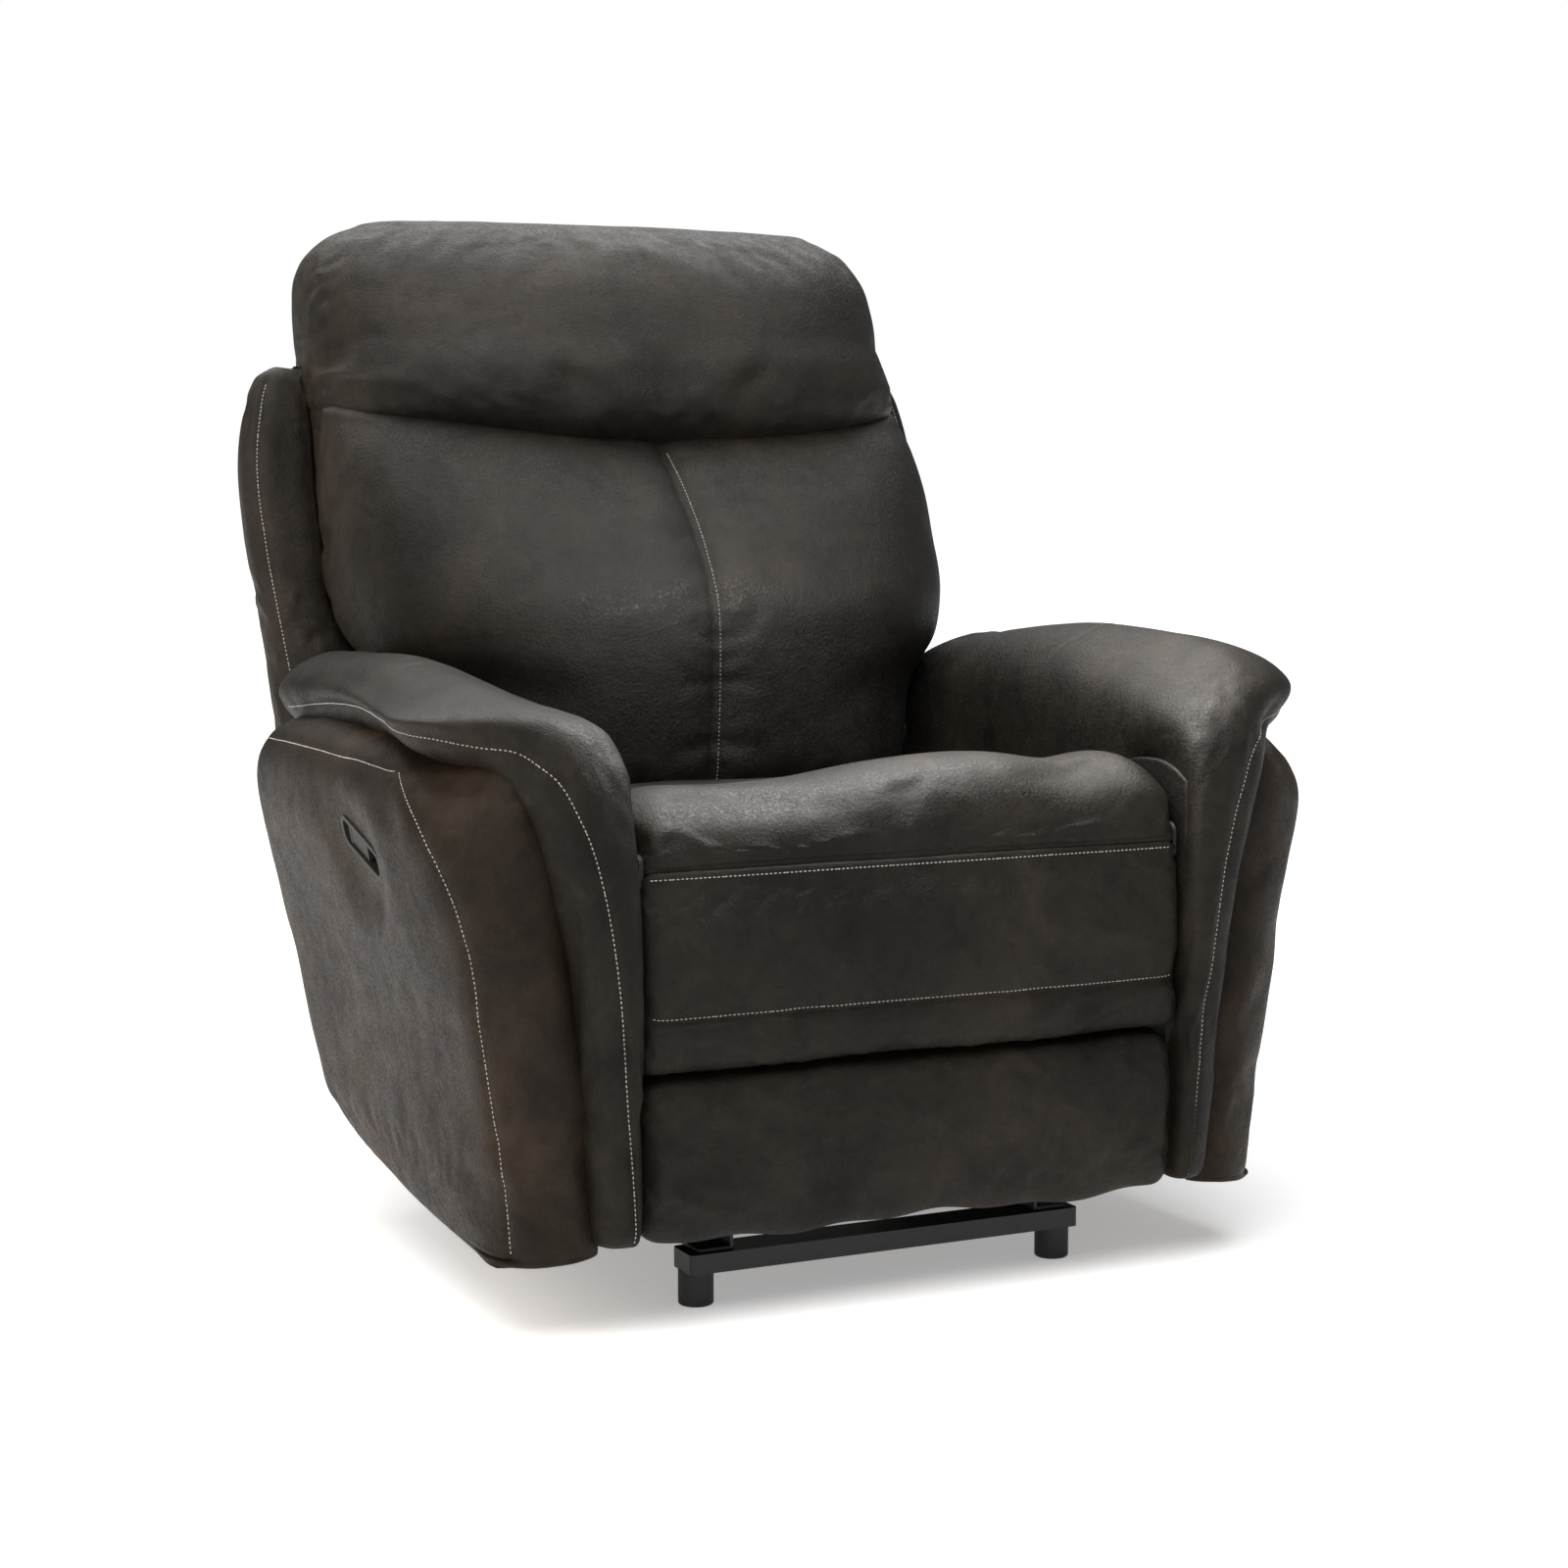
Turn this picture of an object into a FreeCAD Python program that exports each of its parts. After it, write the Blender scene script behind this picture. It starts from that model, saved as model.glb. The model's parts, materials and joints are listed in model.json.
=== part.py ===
import FreeCAD, Part
import math
import os

# Recliner armchair, millimetres. +X is the right side seen from the front, -Y the front, +Z up.
# The origin is on the floor under the middle of the chair. "Left" names mean the -X side.
# Outlines written (y, z) are side views, outlines written (x, z) are front views.

V = FreeCAD.Vector

# ---- driving dimensions -------------------------------------------------------------------
HALF_DEPTH = 449.0          # front of the arm rolls and rear of the back, from the origin
HALF_WIDTH = 483.0          # widest point of the flared arm panels
TOP_Z = 1066.0              # top of the head cushion

# base
FOOT_RADIUS = 17.0
FOOT_HEIGHT = 34.0
FOOT_X = 196.0
CROSSBAR_HALF = 212.0
CROSSBAR_TOP = 53.0
FRONT_BAR_Y = (-379.0, -336.0)
REAR_BAR_Y = (190.0, 233.0)
TRACK_X = (165.0, 201.0)    # the C-shaped track opens outwards
TRACK_Y = (-372.0, 228.0)
TRACK_TOP = 90.0
SHEET = 3.0                 # steel thickness of the tracks

# running fits and link layers
PIN_RADIUS = 4.0
FIT = 0.05                  # radial clearance of a pin in its hole
LINK_HALF = 9.0             # half width of a link bar
EYE_RADIUS = 12.0           # radius of a link's round end
LUG_INNER_X = (232.0, 236.0)
SHIN_INNER_X = (238.0, 242.0)
THIGH_INNER_X = (244.0, 248.0)
SHIN_OUTER_X = (250.0, 254.0)
THIGH_OUTER_X = (256.0, 260.0)
PLATE_X = (262.0, 266.0)
SIDE_RAIL_X = (266.0, 282.0)
HINGE_PLATE_X = (282.0, 286.0)
EAR_X = (276.0, 280.0)

# linkage pivots, (y, z)
CHAISE_HINGE = (-420.0, 428.0)
BACK_HINGE = (120.0, 360.0)
THIGH_INNER_PIVOT = (-310.0, 335.0)
THIGH_OUTER_PIVOT = (-250.0, 335.0)
LUG_INNER_PIVOT = (-350.0, 150.0)
LUG_OUTER_PIVOT = (-350.0, 215.0)
THIGH_INNER_LENGTH = 240.0
THIGH_OUTER_LENGTH = 235.0
SHIN_LENGTH = 235.0

# seat frame
RAIL_Z = (345.0, 380.0)
FRONT_RAIL_Y = (-365.0, -345.0)
REAR_RAIL_Y = (60.0, 80.0)
SPRING_WIRE = 2.0
CUSHION_HALF = 280.0

# chaise panel and footrest, closed position
PAD_Y = (-435.0, -400.0)
CHAISE_Z = (240.0, 420.0)
FOOTREST_Z = (84.0, 235.0)
SLIDE_BAR_X = (190.0, 210.0)
SLIDE_BAR_Y = (-385.0, -379.0)

# arms
ARM_INNER = 290.0
ARM_REAR = 150.0
ARM_BOARD_FRONT = -392.0
ARM_BOARD = 12.0
BOARD_TOP = 540.0
ARM_BOTTOM = 80.0

# back: the posts lean backwards
POST_LEAN = 0.231           # rearward run per unit of height
POST_X = (230.0, 256.0)
POST_Z = (300.0, 985.0)
POST_DEPTH = 35.0
COVER_DEPTH = 8.0
BACK_HALF = 345.0

# latch on the left arm
LATCH_CENTRE = V(-466.0, -195.0, 432.0)
LATCH_SLOPE = 24.0          # degrees, down towards the front
PANEL_TILT = 18.0           # degrees, how far the panel leans outwards there
BEZEL = (92.0, 36.0, 20.0)
POCKET = (80.0, 26.0, 15.0)


# ---- helpers --------------------------------------------------------------------------------
def save(name, shape):
    shape.exportStep("parts/" + name + ".step")


def block(x, y, z):
    return Part.makeBox(x[1] - x[0], y[1] - y[0], z[1] - z[0], V(x[0], y[0], z[0]))


def mirrored(shape):
    return shape.mirror(V(0, 0, 0), V(1, 0, 0))


def pair(shape):
    return Part.makeCompound([mirrored(shape), shape])


def save_sides(name, shape):
    save(name + "_left", mirrored(shape))
    save(name + "_right", shape)


def rounded_face(points, radius):
    """Flat face through the points, with every corner rounded as far as its sides allow."""
    edges = []
    corners = []
    count = len(points)
    for i, corner in enumerate(points):
        before = points[i - 1] - corner
        after = points[(i + 1) % count] - corner
        half_turn = (math.pi - before.getAngle(after)) / 2
        room = 0.45 * min(before.Length, after.Length)
        run = min(radius * math.tan(half_turn), room)
        before.normalize()
        after.normalize()
        start = corner + before * run
        end = corner + after * run
        bisector = before + after
        if bisector.Length < 1e-3 or run < 0.05:
            corners.append((corner, None, corner))
            continue
        bisector.normalize()
        arc_radius = run / math.tan(half_turn)
        middle = corner + bisector * (arc_radius / math.cos(half_turn) - arc_radius)
        corners.append((start, middle, end))
    for i, (start, middle, end) in enumerate(corners):
        if middle is not None:
            edges.append(Part.Arc(start, middle, end).toShape())
        following = corners[(i + 1) % count][0]
        edges.append(Part.LineSegment(end, following).toShape())
    return Part.Face(Part.Wire(edges))


def side_prism(outline, x, radius=0.0):
    """Solid with a (y, z) outline, between two x values."""
    points = [V(x[0], p[0], p[1]) for p in outline]
    return rounded_face(points, radius).extrude(V(x[1] - x[0], 0, 0))


def front_prism(outline, y, radius=0.0):
    """Solid with an (x, z) outline, between two y values."""
    points = [V(p[0], y[0], p[1]) for p in outline]
    return rounded_face(points, radius).extrude(V(0, y[1] - y[0], 0))


def rod(centre, radius, x):
    return Part.makeCylinder(radius, x[1] - x[0], V(x[0], centre[0], centre[1]), V(1, 0, 0))


def link(start, end, x):
    """Flat link bar with round ends between two (y, z) pivots."""
    run = V(0, end[0] - start[0], end[1] - start[1])
    across = V(1, 0, 0).cross(run)
    across.normalize()
    across = across * LINK_HALF
    a = V(x[0], start[0], start[1])
    b = V(x[0], end[0], end[1])
    corners = [a + across, b + across, b - across, a - across]
    bar = Part.Face(Part.makePolygon(corners + corners[:1])).extrude(V(x[1] - x[0], 0, 0))
    return bar.fuse([rod(start, EYE_RADIUS, x), rod(end, EYE_RADIUS, x)]).removeSplitter()


def knee(hip, ankle, thigh, shin):
    """Knee of two links between two (y, z) points, on the rear side."""
    dy = ankle[0] - hip[0]
    dz = ankle[1] - hip[1]
    span = math.hypot(dy, dz)
    along = (thigh ** 2 - shin ** 2 + span ** 2) / (2 * span)
    off = math.sqrt(thigh ** 2 - along ** 2)
    return (hip[0] + (dy * along - dz * off) / span, hip[1] + (dz * along + dy * off) / span)


def post_y(z, depth=0.0):
    """Y of the front face of the back posts at a height, plus a depth."""
    top_y = HALF_DEPTH - COVER_DEPTH - POST_DEPTH
    return top_y + (z - POST_Z[1]) * POST_LEAN + depth


# ---- base -----------------------------------------------------------------------------------
def make_base():
    bar_z = (FOOT_HEIGHT, CROSSBAR_TOP)
    for name, bar_y in (("front", FRONT_BAR_Y), ("rear", REAR_BAR_Y)):
        bar = block((-CROSSBAR_HALF, CROSSBAR_HALF), bar_y, bar_z)
        uprights = [e for e in bar.Edges if abs(e.Vertexes[0].Z - e.Vertexes[-1].Z) > 1]
        save("base_crossbar_" + name, bar.makeFillet(5.0, uprights))
        centre_y = sum(bar_y) / 2 + (3.0 if name == "front" else 0.0)
        for side, sign in (("left", -1), ("right", 1)):
            foot = Part.makeCylinder(FOOT_RADIUS, FOOT_HEIGHT, V(sign * FOOT_X, centre_y, 0))
            lower_rim = [e for e in foot.Edges if e.BoundBox.ZMax < 1]
            save("foot_" + name + "_" + side, foot.makeChamfer(1.5, lower_rim))
    track = block(TRACK_X, TRACK_Y, (CROSSBAR_TOP, TRACK_TOP))
    channel_x = (TRACK_X[0] + SHEET, TRACK_X[1] + 1)
    channel = block(channel_x, TRACK_Y, (CROSSBAR_TOP + SHEET, TRACK_TOP - SHEET))
    save_sides("base_track", track.cut(channel))


# ---- carriage, side plates and seat frame -----------------------------------------------------
def make_carriage():
    runner = block((TRACK_X[0] + SHEET + 0.4, TRACK_X[1] - 2), (-180, 215), (56.4, 86.6))
    arms = [block((TRACK_X[1] - 2, PLATE_X[0]), y, (60, 83)) for y in ((-110, -80), (100, 130))]
    save_sides("carriage_runner", runner.fuse(arms).removeSplitter())

    outline = [(-140, 58), (140, 58), (150, 380), (-330, 380), (-330, 310), (-200, 200), (-140, 120)]
    plate = side_prism(outline, PLATE_X, 14)
    plate = plate.cut(rod(BACK_HINGE, 8 + FIT, PLATE_X))
    save_sides("mechanism_plate", plate.cut(rod(THIGH_OUTER_PIVOT, PIN_RADIUS + FIT, PLATE_X)))


def make_seat_frame():
    save_sides("seat_side_rail", block(SIDE_RAIL_X, (FRONT_RAIL_Y[1], 95), RAIL_Z))
    front_half = SIDE_RAIL_X[1]
    save("seat_front_rail", block((-front_half, front_half), FRONT_RAIL_Y, RAIL_Z))
    save("seat_rear_rail", block((-PLATE_X[0], PLATE_X[0]), REAR_RAIL_Y, RAIL_Z))

    outline = [(-434, 442), (-408, 442), (-330, 382), (-250, 378), (-250, 350), (-345, 350), (-434, 410)]
    plate = side_prism(outline, HINGE_PLATE_X, 10)
    save("chaise_hinge_plates", pair(plate.cut(rod(CHAISE_HINGE, 5 + FIT, HINGE_PLATE_X))))

    hanger = block((220, 226), (FRONT_RAIL_Y[1], -290), (318, 380))
    save("tube_hangers", pair(hanger.cut(rod(THIGH_INNER_PIVOT, 8 + FIT, (219, 227)))))


def make_springs():
    """Four sinuous springs from the front rail to the rear rail."""
    bends = 13
    swing = 22.0
    wire_z = RAIL_Z[1] - SPRING_WIRE - 2
    pitch = (REAR_RAIL_Y[0] - FRONT_RAIL_Y[1]) / (bends + 1)
    springs = []
    for centre_x in (-189.0, -63.0, 63.0, 189.0):
        points = [V(centre_x, FRONT_RAIL_Y[1], wire_z)]
        for i in range(bends):
            side = swing if i % 2 else -swing
            points.append(V(centre_x + side, FRONT_RAIL_Y[1] + (i + 1) * pitch, wire_z))
        points.append(V(centre_x, REAR_RAIL_Y[0], wire_z))
        spring = None
        for a, b in zip(points, points[1:]):
            piece = Part.makeCylinder(SPRING_WIRE, (b - a).Length, a, b - a)
            piece = piece.fuse(Part.makeSphere(SPRING_WIRE, b)) if b is not points[-1] else piece
            spring = piece if spring is None else spring.fuse(piece)
        inside = block((-PLATE_X[0], PLATE_X[0]), (FRONT_RAIL_Y[1], REAR_RAIL_Y[0]), (300, 400))
        springs.append(spring.common(inside))
    save("seat_springs", Part.makeCompound(springs))


def make_seat_cushion():
    outline = [(20, 388), (20, 494), (-90, 490), (-220, 495), (-340, 511), (-400, 507), (-432, 487),
               (-441, 464), (-432, 448), (-374, 447), (-370, 388)]
    save("seat_cushion", side_prism(outline, (-CUSHION_HALF, CUSHION_HALF), 22))


# ---- footrest and its linkage -------------------------------------------------------------------
def make_chaise():
    board = block((-EAR_X[0], EAR_X[0]), (PAD_Y[1], -388), (250, 418))
    save("chaise_board", board)
    save("chaise_pad", pad_block(CUSHION_HALF - 4.5, CHAISE_Z))

    outline = [(-431, 439), (-409, 439), (-388, 400), (-388, 372), (-400, 372), (-431, 415)]
    ear = side_prism(outline, EAR_X, 9).fuse(rod(CHAISE_HINGE, 5, (EAR_X[0], 288)))
    save("chaise_ears", pair(ear.removeSplitter()))

    guide_z = (250, 330)
    guide = block((187, 213), (-388, -375.6), guide_z)
    passage = block((189.5, 210.5), (-389, -378.6), guide_z)
    save("footrest_guides", pair(guide.cut(passage)))


def pad_block(half_width, z):
    outline = [(PAD_Y[1], z[0]), (PAD_Y[1], z[1]), (PAD_Y[0], z[1]), (PAD_Y[0], z[0])]
    pad = side_prism(outline, (-half_width, half_width))
    front_edges = [e for e in pad.Edges if e.BoundBox.YMax < PAD_Y[0] + 1]
    return pad.makeFillet(14.0, front_edges)


def make_footrest():
    save("footrest_board", block((-EAR_X[0], EAR_X[0]), (PAD_Y[1], SLIDE_BAR_Y[0]), (95, 225)))
    save("footrest_pad", pad_block(CUSHION_HALF, FOOTREST_Z))
    save("footrest_slide_bars", pair(block(SLIDE_BAR_X, SLIDE_BAR_Y, (100, 395))))

    lugs = []
    lug_pivots = ((LUG_INNER_X, LUG_INNER_PIVOT), (THIGH_INNER_X, LUG_OUTER_PIVOT))
    for x, pivot in lug_pivots:
        z = pivot[1]
        outline = [(SLIDE_BAR_Y[0], z - 32), (SLIDE_BAR_Y[0], z + 26), (-338, z + 14), (-338, z - 14)]
        stub = rod(pivot, PIN_RADIUS, (x[1], x[1] + 1.5))
        lugs.append(side_prism(outline, x, 8).fuse(stub))
    save("footrest_lugs", Part.makeCompound([pair(lug) for lug in lugs]))


def make_links():
    inner_knee = knee(THIGH_INNER_PIVOT, LUG_INNER_PIVOT, THIGH_INNER_LENGTH, SHIN_LENGTH)
    outer_knee = knee(THIGH_OUTER_PIVOT, LUG_OUTER_PIVOT, THIGH_OUTER_LENGTH, SHIN_LENGTH)

    pin = rod(inner_knee, PIN_RADIUS, (SHIN_INNER_X[0] - 1, THIGH_INNER_X[0]))
    thigh = link(THIGH_INNER_PIVOT, inner_knee, THIGH_INNER_X)
    save("thigh_links_inner", pair(thigh.fuse(pin)))
    tube = rod(THIGH_INNER_PIVOT, 8, (-THIGH_INNER_X[0], THIGH_INNER_X[0]))
    save("torque_tube", tube.cut(rod(THIGH_INNER_PIVOT, 6, (-THIGH_INNER_X[0], THIGH_INNER_X[0]))))

    shin = link(inner_knee, LUG_INNER_PIVOT, SHIN_INNER_X)
    for hole in (inner_knee, LUG_INNER_PIVOT):
        shin = shin.cut(rod(hole, PIN_RADIUS + FIT, SHIN_INNER_X))
    save("shin_links_inner", pair(shin))

    knee_pin = rod(outer_knee, PIN_RADIUS, (SHIN_OUTER_X[0] - 1, THIGH_OUTER_X[0]))
    hip_pin = rod(THIGH_OUTER_PIVOT, PIN_RADIUS, (THIGH_OUTER_X[1], PLATE_X[1] + 1))
    thigh = link(THIGH_OUTER_PIVOT, outer_knee, THIGH_OUTER_X)
    save("thigh_links_outer", pair(thigh.fuse([knee_pin, hip_pin])))

    shin = link(outer_knee, LUG_OUTER_PIVOT, SHIN_OUTER_X)
    for hole in (outer_knee, LUG_OUTER_PIVOT):
        shin = shin.cut(rod(hole, PIN_RADIUS + FIT, SHIN_OUTER_X))
    save("shin_links_outer", pair(shin))


# ---- arms -----------------------------------------------------------------------------------------
def arm_side(front, bottom, x):
    """Side view of the arm between two widths, its underside sweeping up to the rear."""
    underside = [(front, bottom), (-200, bottom + 8), (-83, 103), (27, 121), (100, 151), (126, 196),
                 (142, 262), (ARM_REAR, 332)]
    top = [(ARM_REAR, BOARD_TOP), (front + 50, BOARD_TOP), (front, BOARD_TOP - 60)]
    return side_prism(underside + top, x)


def make_arm_frames():
    board_x = (ARM_INNER + 12, ARM_INNER + 12 + ARM_BOARD)
    save_sides("arm_inner_skin", arm_side(-404, 85, (ARM_INNER, board_x[0])))
    save_sides("arm_inner_board", arm_side(ARM_BOARD_FRONT, ARM_BOTTOM, board_x))
    frame_x = (board_x[1], 385)
    below_top = (ARM_BOTTOM, BOARD_TOP - ARM_BOARD)
    front_y = (ARM_BOARD_FRONT, ARM_BOARD_FRONT + ARM_BOARD)
    save_sides("arm_front_board", block((frame_x[0], 365), front_y, below_top))
    top_y = (ARM_BOARD_FRONT + ARM_BOARD, ARM_REAR)
    save_sides("arm_top_board", block(frame_x, top_y, (below_top[1], BOARD_TOP)))
    rear_z = (275, below_top[1])
    save_sides("arm_rear_board", block(frame_x, (ARM_REAR - 24, ARM_REAR - 12), rear_z))


def make_arm_pads():
    top = [(188, 541), (193, 574), (165, 602), (0, 616), (-160, 624), (-275, 621), (-365, 612),
           (-418, 594), (-440, 560), (-440, 541)]
    slab = side_prism(top, (ARM_INNER + 2, 438), 16)
    roll = [(-405, 85), (-443, 85), (-HALF_DEPTH, 110), (-HALF_DEPTH, 500), (-443, 552), (-405, 560)]
    front = side_prism(roll, (ARM_INNER + 2, 345), 12)
    save_sides("arm_pad", slab.fuse(front).removeSplitter())


def outer_panel():
    section = [(397, 72), (412, 72), (428, 216), (436, 286), (455, 366), (477, 436), (HALF_WIDTH, 476),
               (474, 505), (455, 525), (437, 532), (397, 532)]
    side = front_prism(section, (-405, ARM_REAR), 12)
    outline = [(-405, 72), (-200, 80), (-83, 95), (27, 113), (105, 143), (126, 188), (142, 260),
               (150, 332), (147, 397), (132, 470), (132, 532), (-405, 532)]
    side = side.common(side_prism(outline, (390, 490), 12))
    front = [(347, 72), (410, 72), (428, 260), (460, 470), (455, 505), (436, 539), (365, 539), (352, 330)]
    return side.fuse(front_prism(front, (-425, -405), 8)).removeSplitter()


def latch_placement():
    """Frame of the latch: x along its length towards the front, y across it, z outwards."""
    tilt = math.radians(PANEL_TILT)
    slope = math.radians(LATCH_SLOPE)
    outward = V(-math.cos(tilt), 0, -math.sin(tilt))
    along = V(0, -math.cos(slope), -math.sin(slope))
    along = along - outward * along.dot(outward)
    along.normalize()
    across = outward.cross(along)
    rotation = FreeCAD.Rotation(along, across, outward, "ZXY")
    return FreeCAD.Placement(LATCH_CENTRE, rotation)


def centred_block(length, width, z, x=0.0):
    return Part.makeBox(length, width, z[1] - z[0], V(x - length / 2, -width / 2, z[0]))


def make_latch():
    """Recessed pull: a bezel with a pocket, and a paddle lever hinged at the pocket's rear end."""
    hinge = V(-30.0, 0, -5.0)
    pin = Part.makeCylinder(2.5, BEZEL[1] - 4, hinge - V(0, BEZEL[1] / 2 - 2, 0), V(0, 1, 0))
    body = centred_block(BEZEL[0], BEZEL[1], (2 - BEZEL[2], 2))
    body = body.makeFillet(15, [e for e in body.Edges if abs(e.tangentAt(e.FirstParameter).z) > 0.9])
    pocket = centred_block(POCKET[0], POCKET[1], (2 - POCKET[2], 4))
    pocket = pocket.makeFillet(8, [e for e in pocket.Edges if abs(e.tangentAt(e.FirstParameter).z) > 0.9])
    bezel = body.cut(pocket).cut(pin)

    paddle = centred_block(42, POCKET[1] - 2, (-6, -1), hinge.x + 18)
    lip = centred_block(4, POCKET[1] - 6, (-9, -1), hinge.x + 37)
    barrel = Part.makeCylinder(5, POCKET[1] - 2, hinge - V(0, POCKET[1] / 2 - 1, 0), V(0, 1, 0))
    bore = Part.makeCylinder(2.5 + FIT, POCKET[1], hinge - V(0, POCKET[1] / 2, 0), V(0, 1, 0))
    lever = paddle.fuse([lip, barrel]).cut(bore).removeSplitter()

    place = latch_placement()
    for name, shape in (("latch_bezel", bezel), ("latch_pin", pin), ("latch_lever", lever)):
        placed = shape.copy()
        placed.Placement = place
        save(name, placed)
    mouth = centred_block(BEZEL[0], BEZEL[1], (-1, 30))
    opening = body.fuse(mouth)
    opening.Placement = place
    return opening


def make_outer_panels():
    panel = outer_panel()
    save("arm_outer_panel_right", panel)
    save("arm_outer_panel_left", mirrored(panel).cut(make_latch()))


# ---- back --------------------------------------------------------------------------------------------
def leaning_bar(z, x, depth, offset=0.0):
    """Bar along the lean of the posts between two heights."""
    front = offset
    rear = offset + depth
    outline = [(post_y(z[0], front), z[0]), (post_y(z[1], front), z[1]),
               (post_y(z[1], rear), z[1]), (post_y(z[0], rear), z[0])]
    return side_prism(outline, x)


def make_back_frame():
    save_sides("back_post", leaning_bar(POST_Z, POST_X, POST_DEPTH))
    inner = (-POST_X[0], POST_X[0])
    save("back_top_rail", leaning_bar((900, 945), inner, 20, 8))
    save("back_low_rail", leaning_bar((400, 445), inner, 20, 8))
    outline = [(104, 350), (118, 342), (262, 372), (296, 392), (316, 500), (294, 500), (280, 446),
               (124, 382), (104, 374)]
    bracket = side_prism(outline, THIGH_OUTER_X, 9)
    pin = rod(BACK_HINGE, 8, (THIGH_OUTER_X[0], PLATE_X[1] + 2))
    save("back_brackets", pair(bracket.fuse(pin)))
    cover = leaning_bar((250, 985), (-BACK_HALF + 5, BACK_HALF - 5), COVER_DEPTH, POST_DEPTH)
    save("back_rear_cover", cover)


def make_back_cushions():
    low = [(38, 448), (26, 555), (29, 625), (303, 625), (268, 448)]
    high = [(29, 625), (31, 642), (60, 696), (106, 764), (165, 806), (350, 806), (309, 625)]
    lumbar = side_prism(low, (-283, 283)).fuse(side_prism(high, (-BACK_HALF, BACK_HALF)))
    save("lumbar_cushion", lumbar.removeSplitter())

    head = [(192, 814), (164, 860), (184, 930), (224, 1000), (262, 1048), (305, TOP_Z), (360, 1062),
            (415, 1040), (440, 1010), (445, 992), (400, 992), (358, 814)]
    pillow = side_prism(head, (-BACK_HALF, BACK_HALF), 18)
    face = [(-BACK_HALF, 800), (BACK_HALF, 800), (BACK_HALF, 1067), (-BACK_HALF, 1067)]
    window = front_prism(face, (100, 500), 0)
    tops = [e for e in window.Edges if e.BoundBox.ZMin > 1000 and e.BoundBox.YLength > 100]
    save("head_cushion", pillow.common(window.makeFillet(92, tops)))


def make_wings():
    side = [(235, 430), (325, 720), (360, 860), (376, 902), (400, 902), (406, 860), (379, 700), (317, 430)]
    front = [(347, 430), (388, 430), (416, 690), (419, 765), (411, 850), (388, 902), (347, 902)]
    wing = side_prism(side, (347, 420), 10).common(front_prism(front, (150, 450), 16))
    save_sides("back_wing", wing)


os.makedirs("parts", exist_ok=True)
make_base()
make_carriage()
make_seat_frame()
make_springs()
make_seat_cushion()
make_chaise()
make_footrest()
make_links()
make_arm_frames()
make_arm_pads()
make_outer_panels()
make_back_frame()
make_back_cushions()
make_wings()
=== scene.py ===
import json
import math

import bpy
import numpy as np
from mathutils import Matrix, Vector, noise
from mathutils.bvhtree import BVHTree
from mathutils.kdtree import KDTree


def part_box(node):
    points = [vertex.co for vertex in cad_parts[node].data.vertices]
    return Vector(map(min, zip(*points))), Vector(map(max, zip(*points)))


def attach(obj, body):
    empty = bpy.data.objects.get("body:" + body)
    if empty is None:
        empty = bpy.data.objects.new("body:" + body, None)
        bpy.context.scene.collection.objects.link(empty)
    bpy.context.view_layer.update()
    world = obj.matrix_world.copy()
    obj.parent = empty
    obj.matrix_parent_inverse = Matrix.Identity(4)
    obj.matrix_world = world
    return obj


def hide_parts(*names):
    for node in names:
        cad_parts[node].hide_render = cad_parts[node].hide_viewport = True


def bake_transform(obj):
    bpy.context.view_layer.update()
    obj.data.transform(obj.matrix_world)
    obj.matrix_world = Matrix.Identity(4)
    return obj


# Recliner armchair, metres. +X is the right side seen from the front, -Y the front, +Z up.

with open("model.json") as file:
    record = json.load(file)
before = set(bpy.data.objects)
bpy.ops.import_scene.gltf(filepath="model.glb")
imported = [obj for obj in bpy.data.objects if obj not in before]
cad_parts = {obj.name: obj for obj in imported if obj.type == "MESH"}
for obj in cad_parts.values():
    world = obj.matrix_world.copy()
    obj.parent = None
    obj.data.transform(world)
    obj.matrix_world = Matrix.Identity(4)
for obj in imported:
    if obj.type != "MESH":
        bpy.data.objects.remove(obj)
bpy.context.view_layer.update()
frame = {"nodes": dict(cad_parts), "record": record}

SEAM_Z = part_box("chaise_pad")[1].z + 0.006       # seam between the seat and the chaise panel
BACK_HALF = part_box("lumbar_cushion")[1].x
TOP_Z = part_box("head_cushion")[1].z
CUSHION_HALF = 0.2870                            # half width of the seat and the chaise panel
PANEL_POINTS = 116                               # points around one ring of an outer panel
LATCH_TILT = math.radians(18)                    # how far the outer panel leans out at the latch
LATCH_SLOPE = math.radians(24)                   # how far the latch slopes down to the front
LATCH_MOUTH = (0.0445, 0.0165)                   # half length and half width of its opening
STITCH_PITCH = 0.0044
STITCH_LENGTH = 0.0030
STITCH_RADIUS = 0.00048
STITCH_SIDES = 6                                 # corners of the thread's section
STITCH_SINK = 0.0009                             # how far a stitch's ends go under the leather
WORLD_LIGHT = 0.20                               # sky light on the chair, under a white backdrop
FLOOR_GLOW = 0.33                                # keeps the shadows on the floor pale
CAMERA_PLACE = (-1.3033, -2.8154, 0.7781)
CAMERA_LENS = 66.95                              # millimetres, on a 36 mm sensor
CAMERA_TURN = math.radians(-26)
CAMERA_DIP = math.radians(6)


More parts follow.
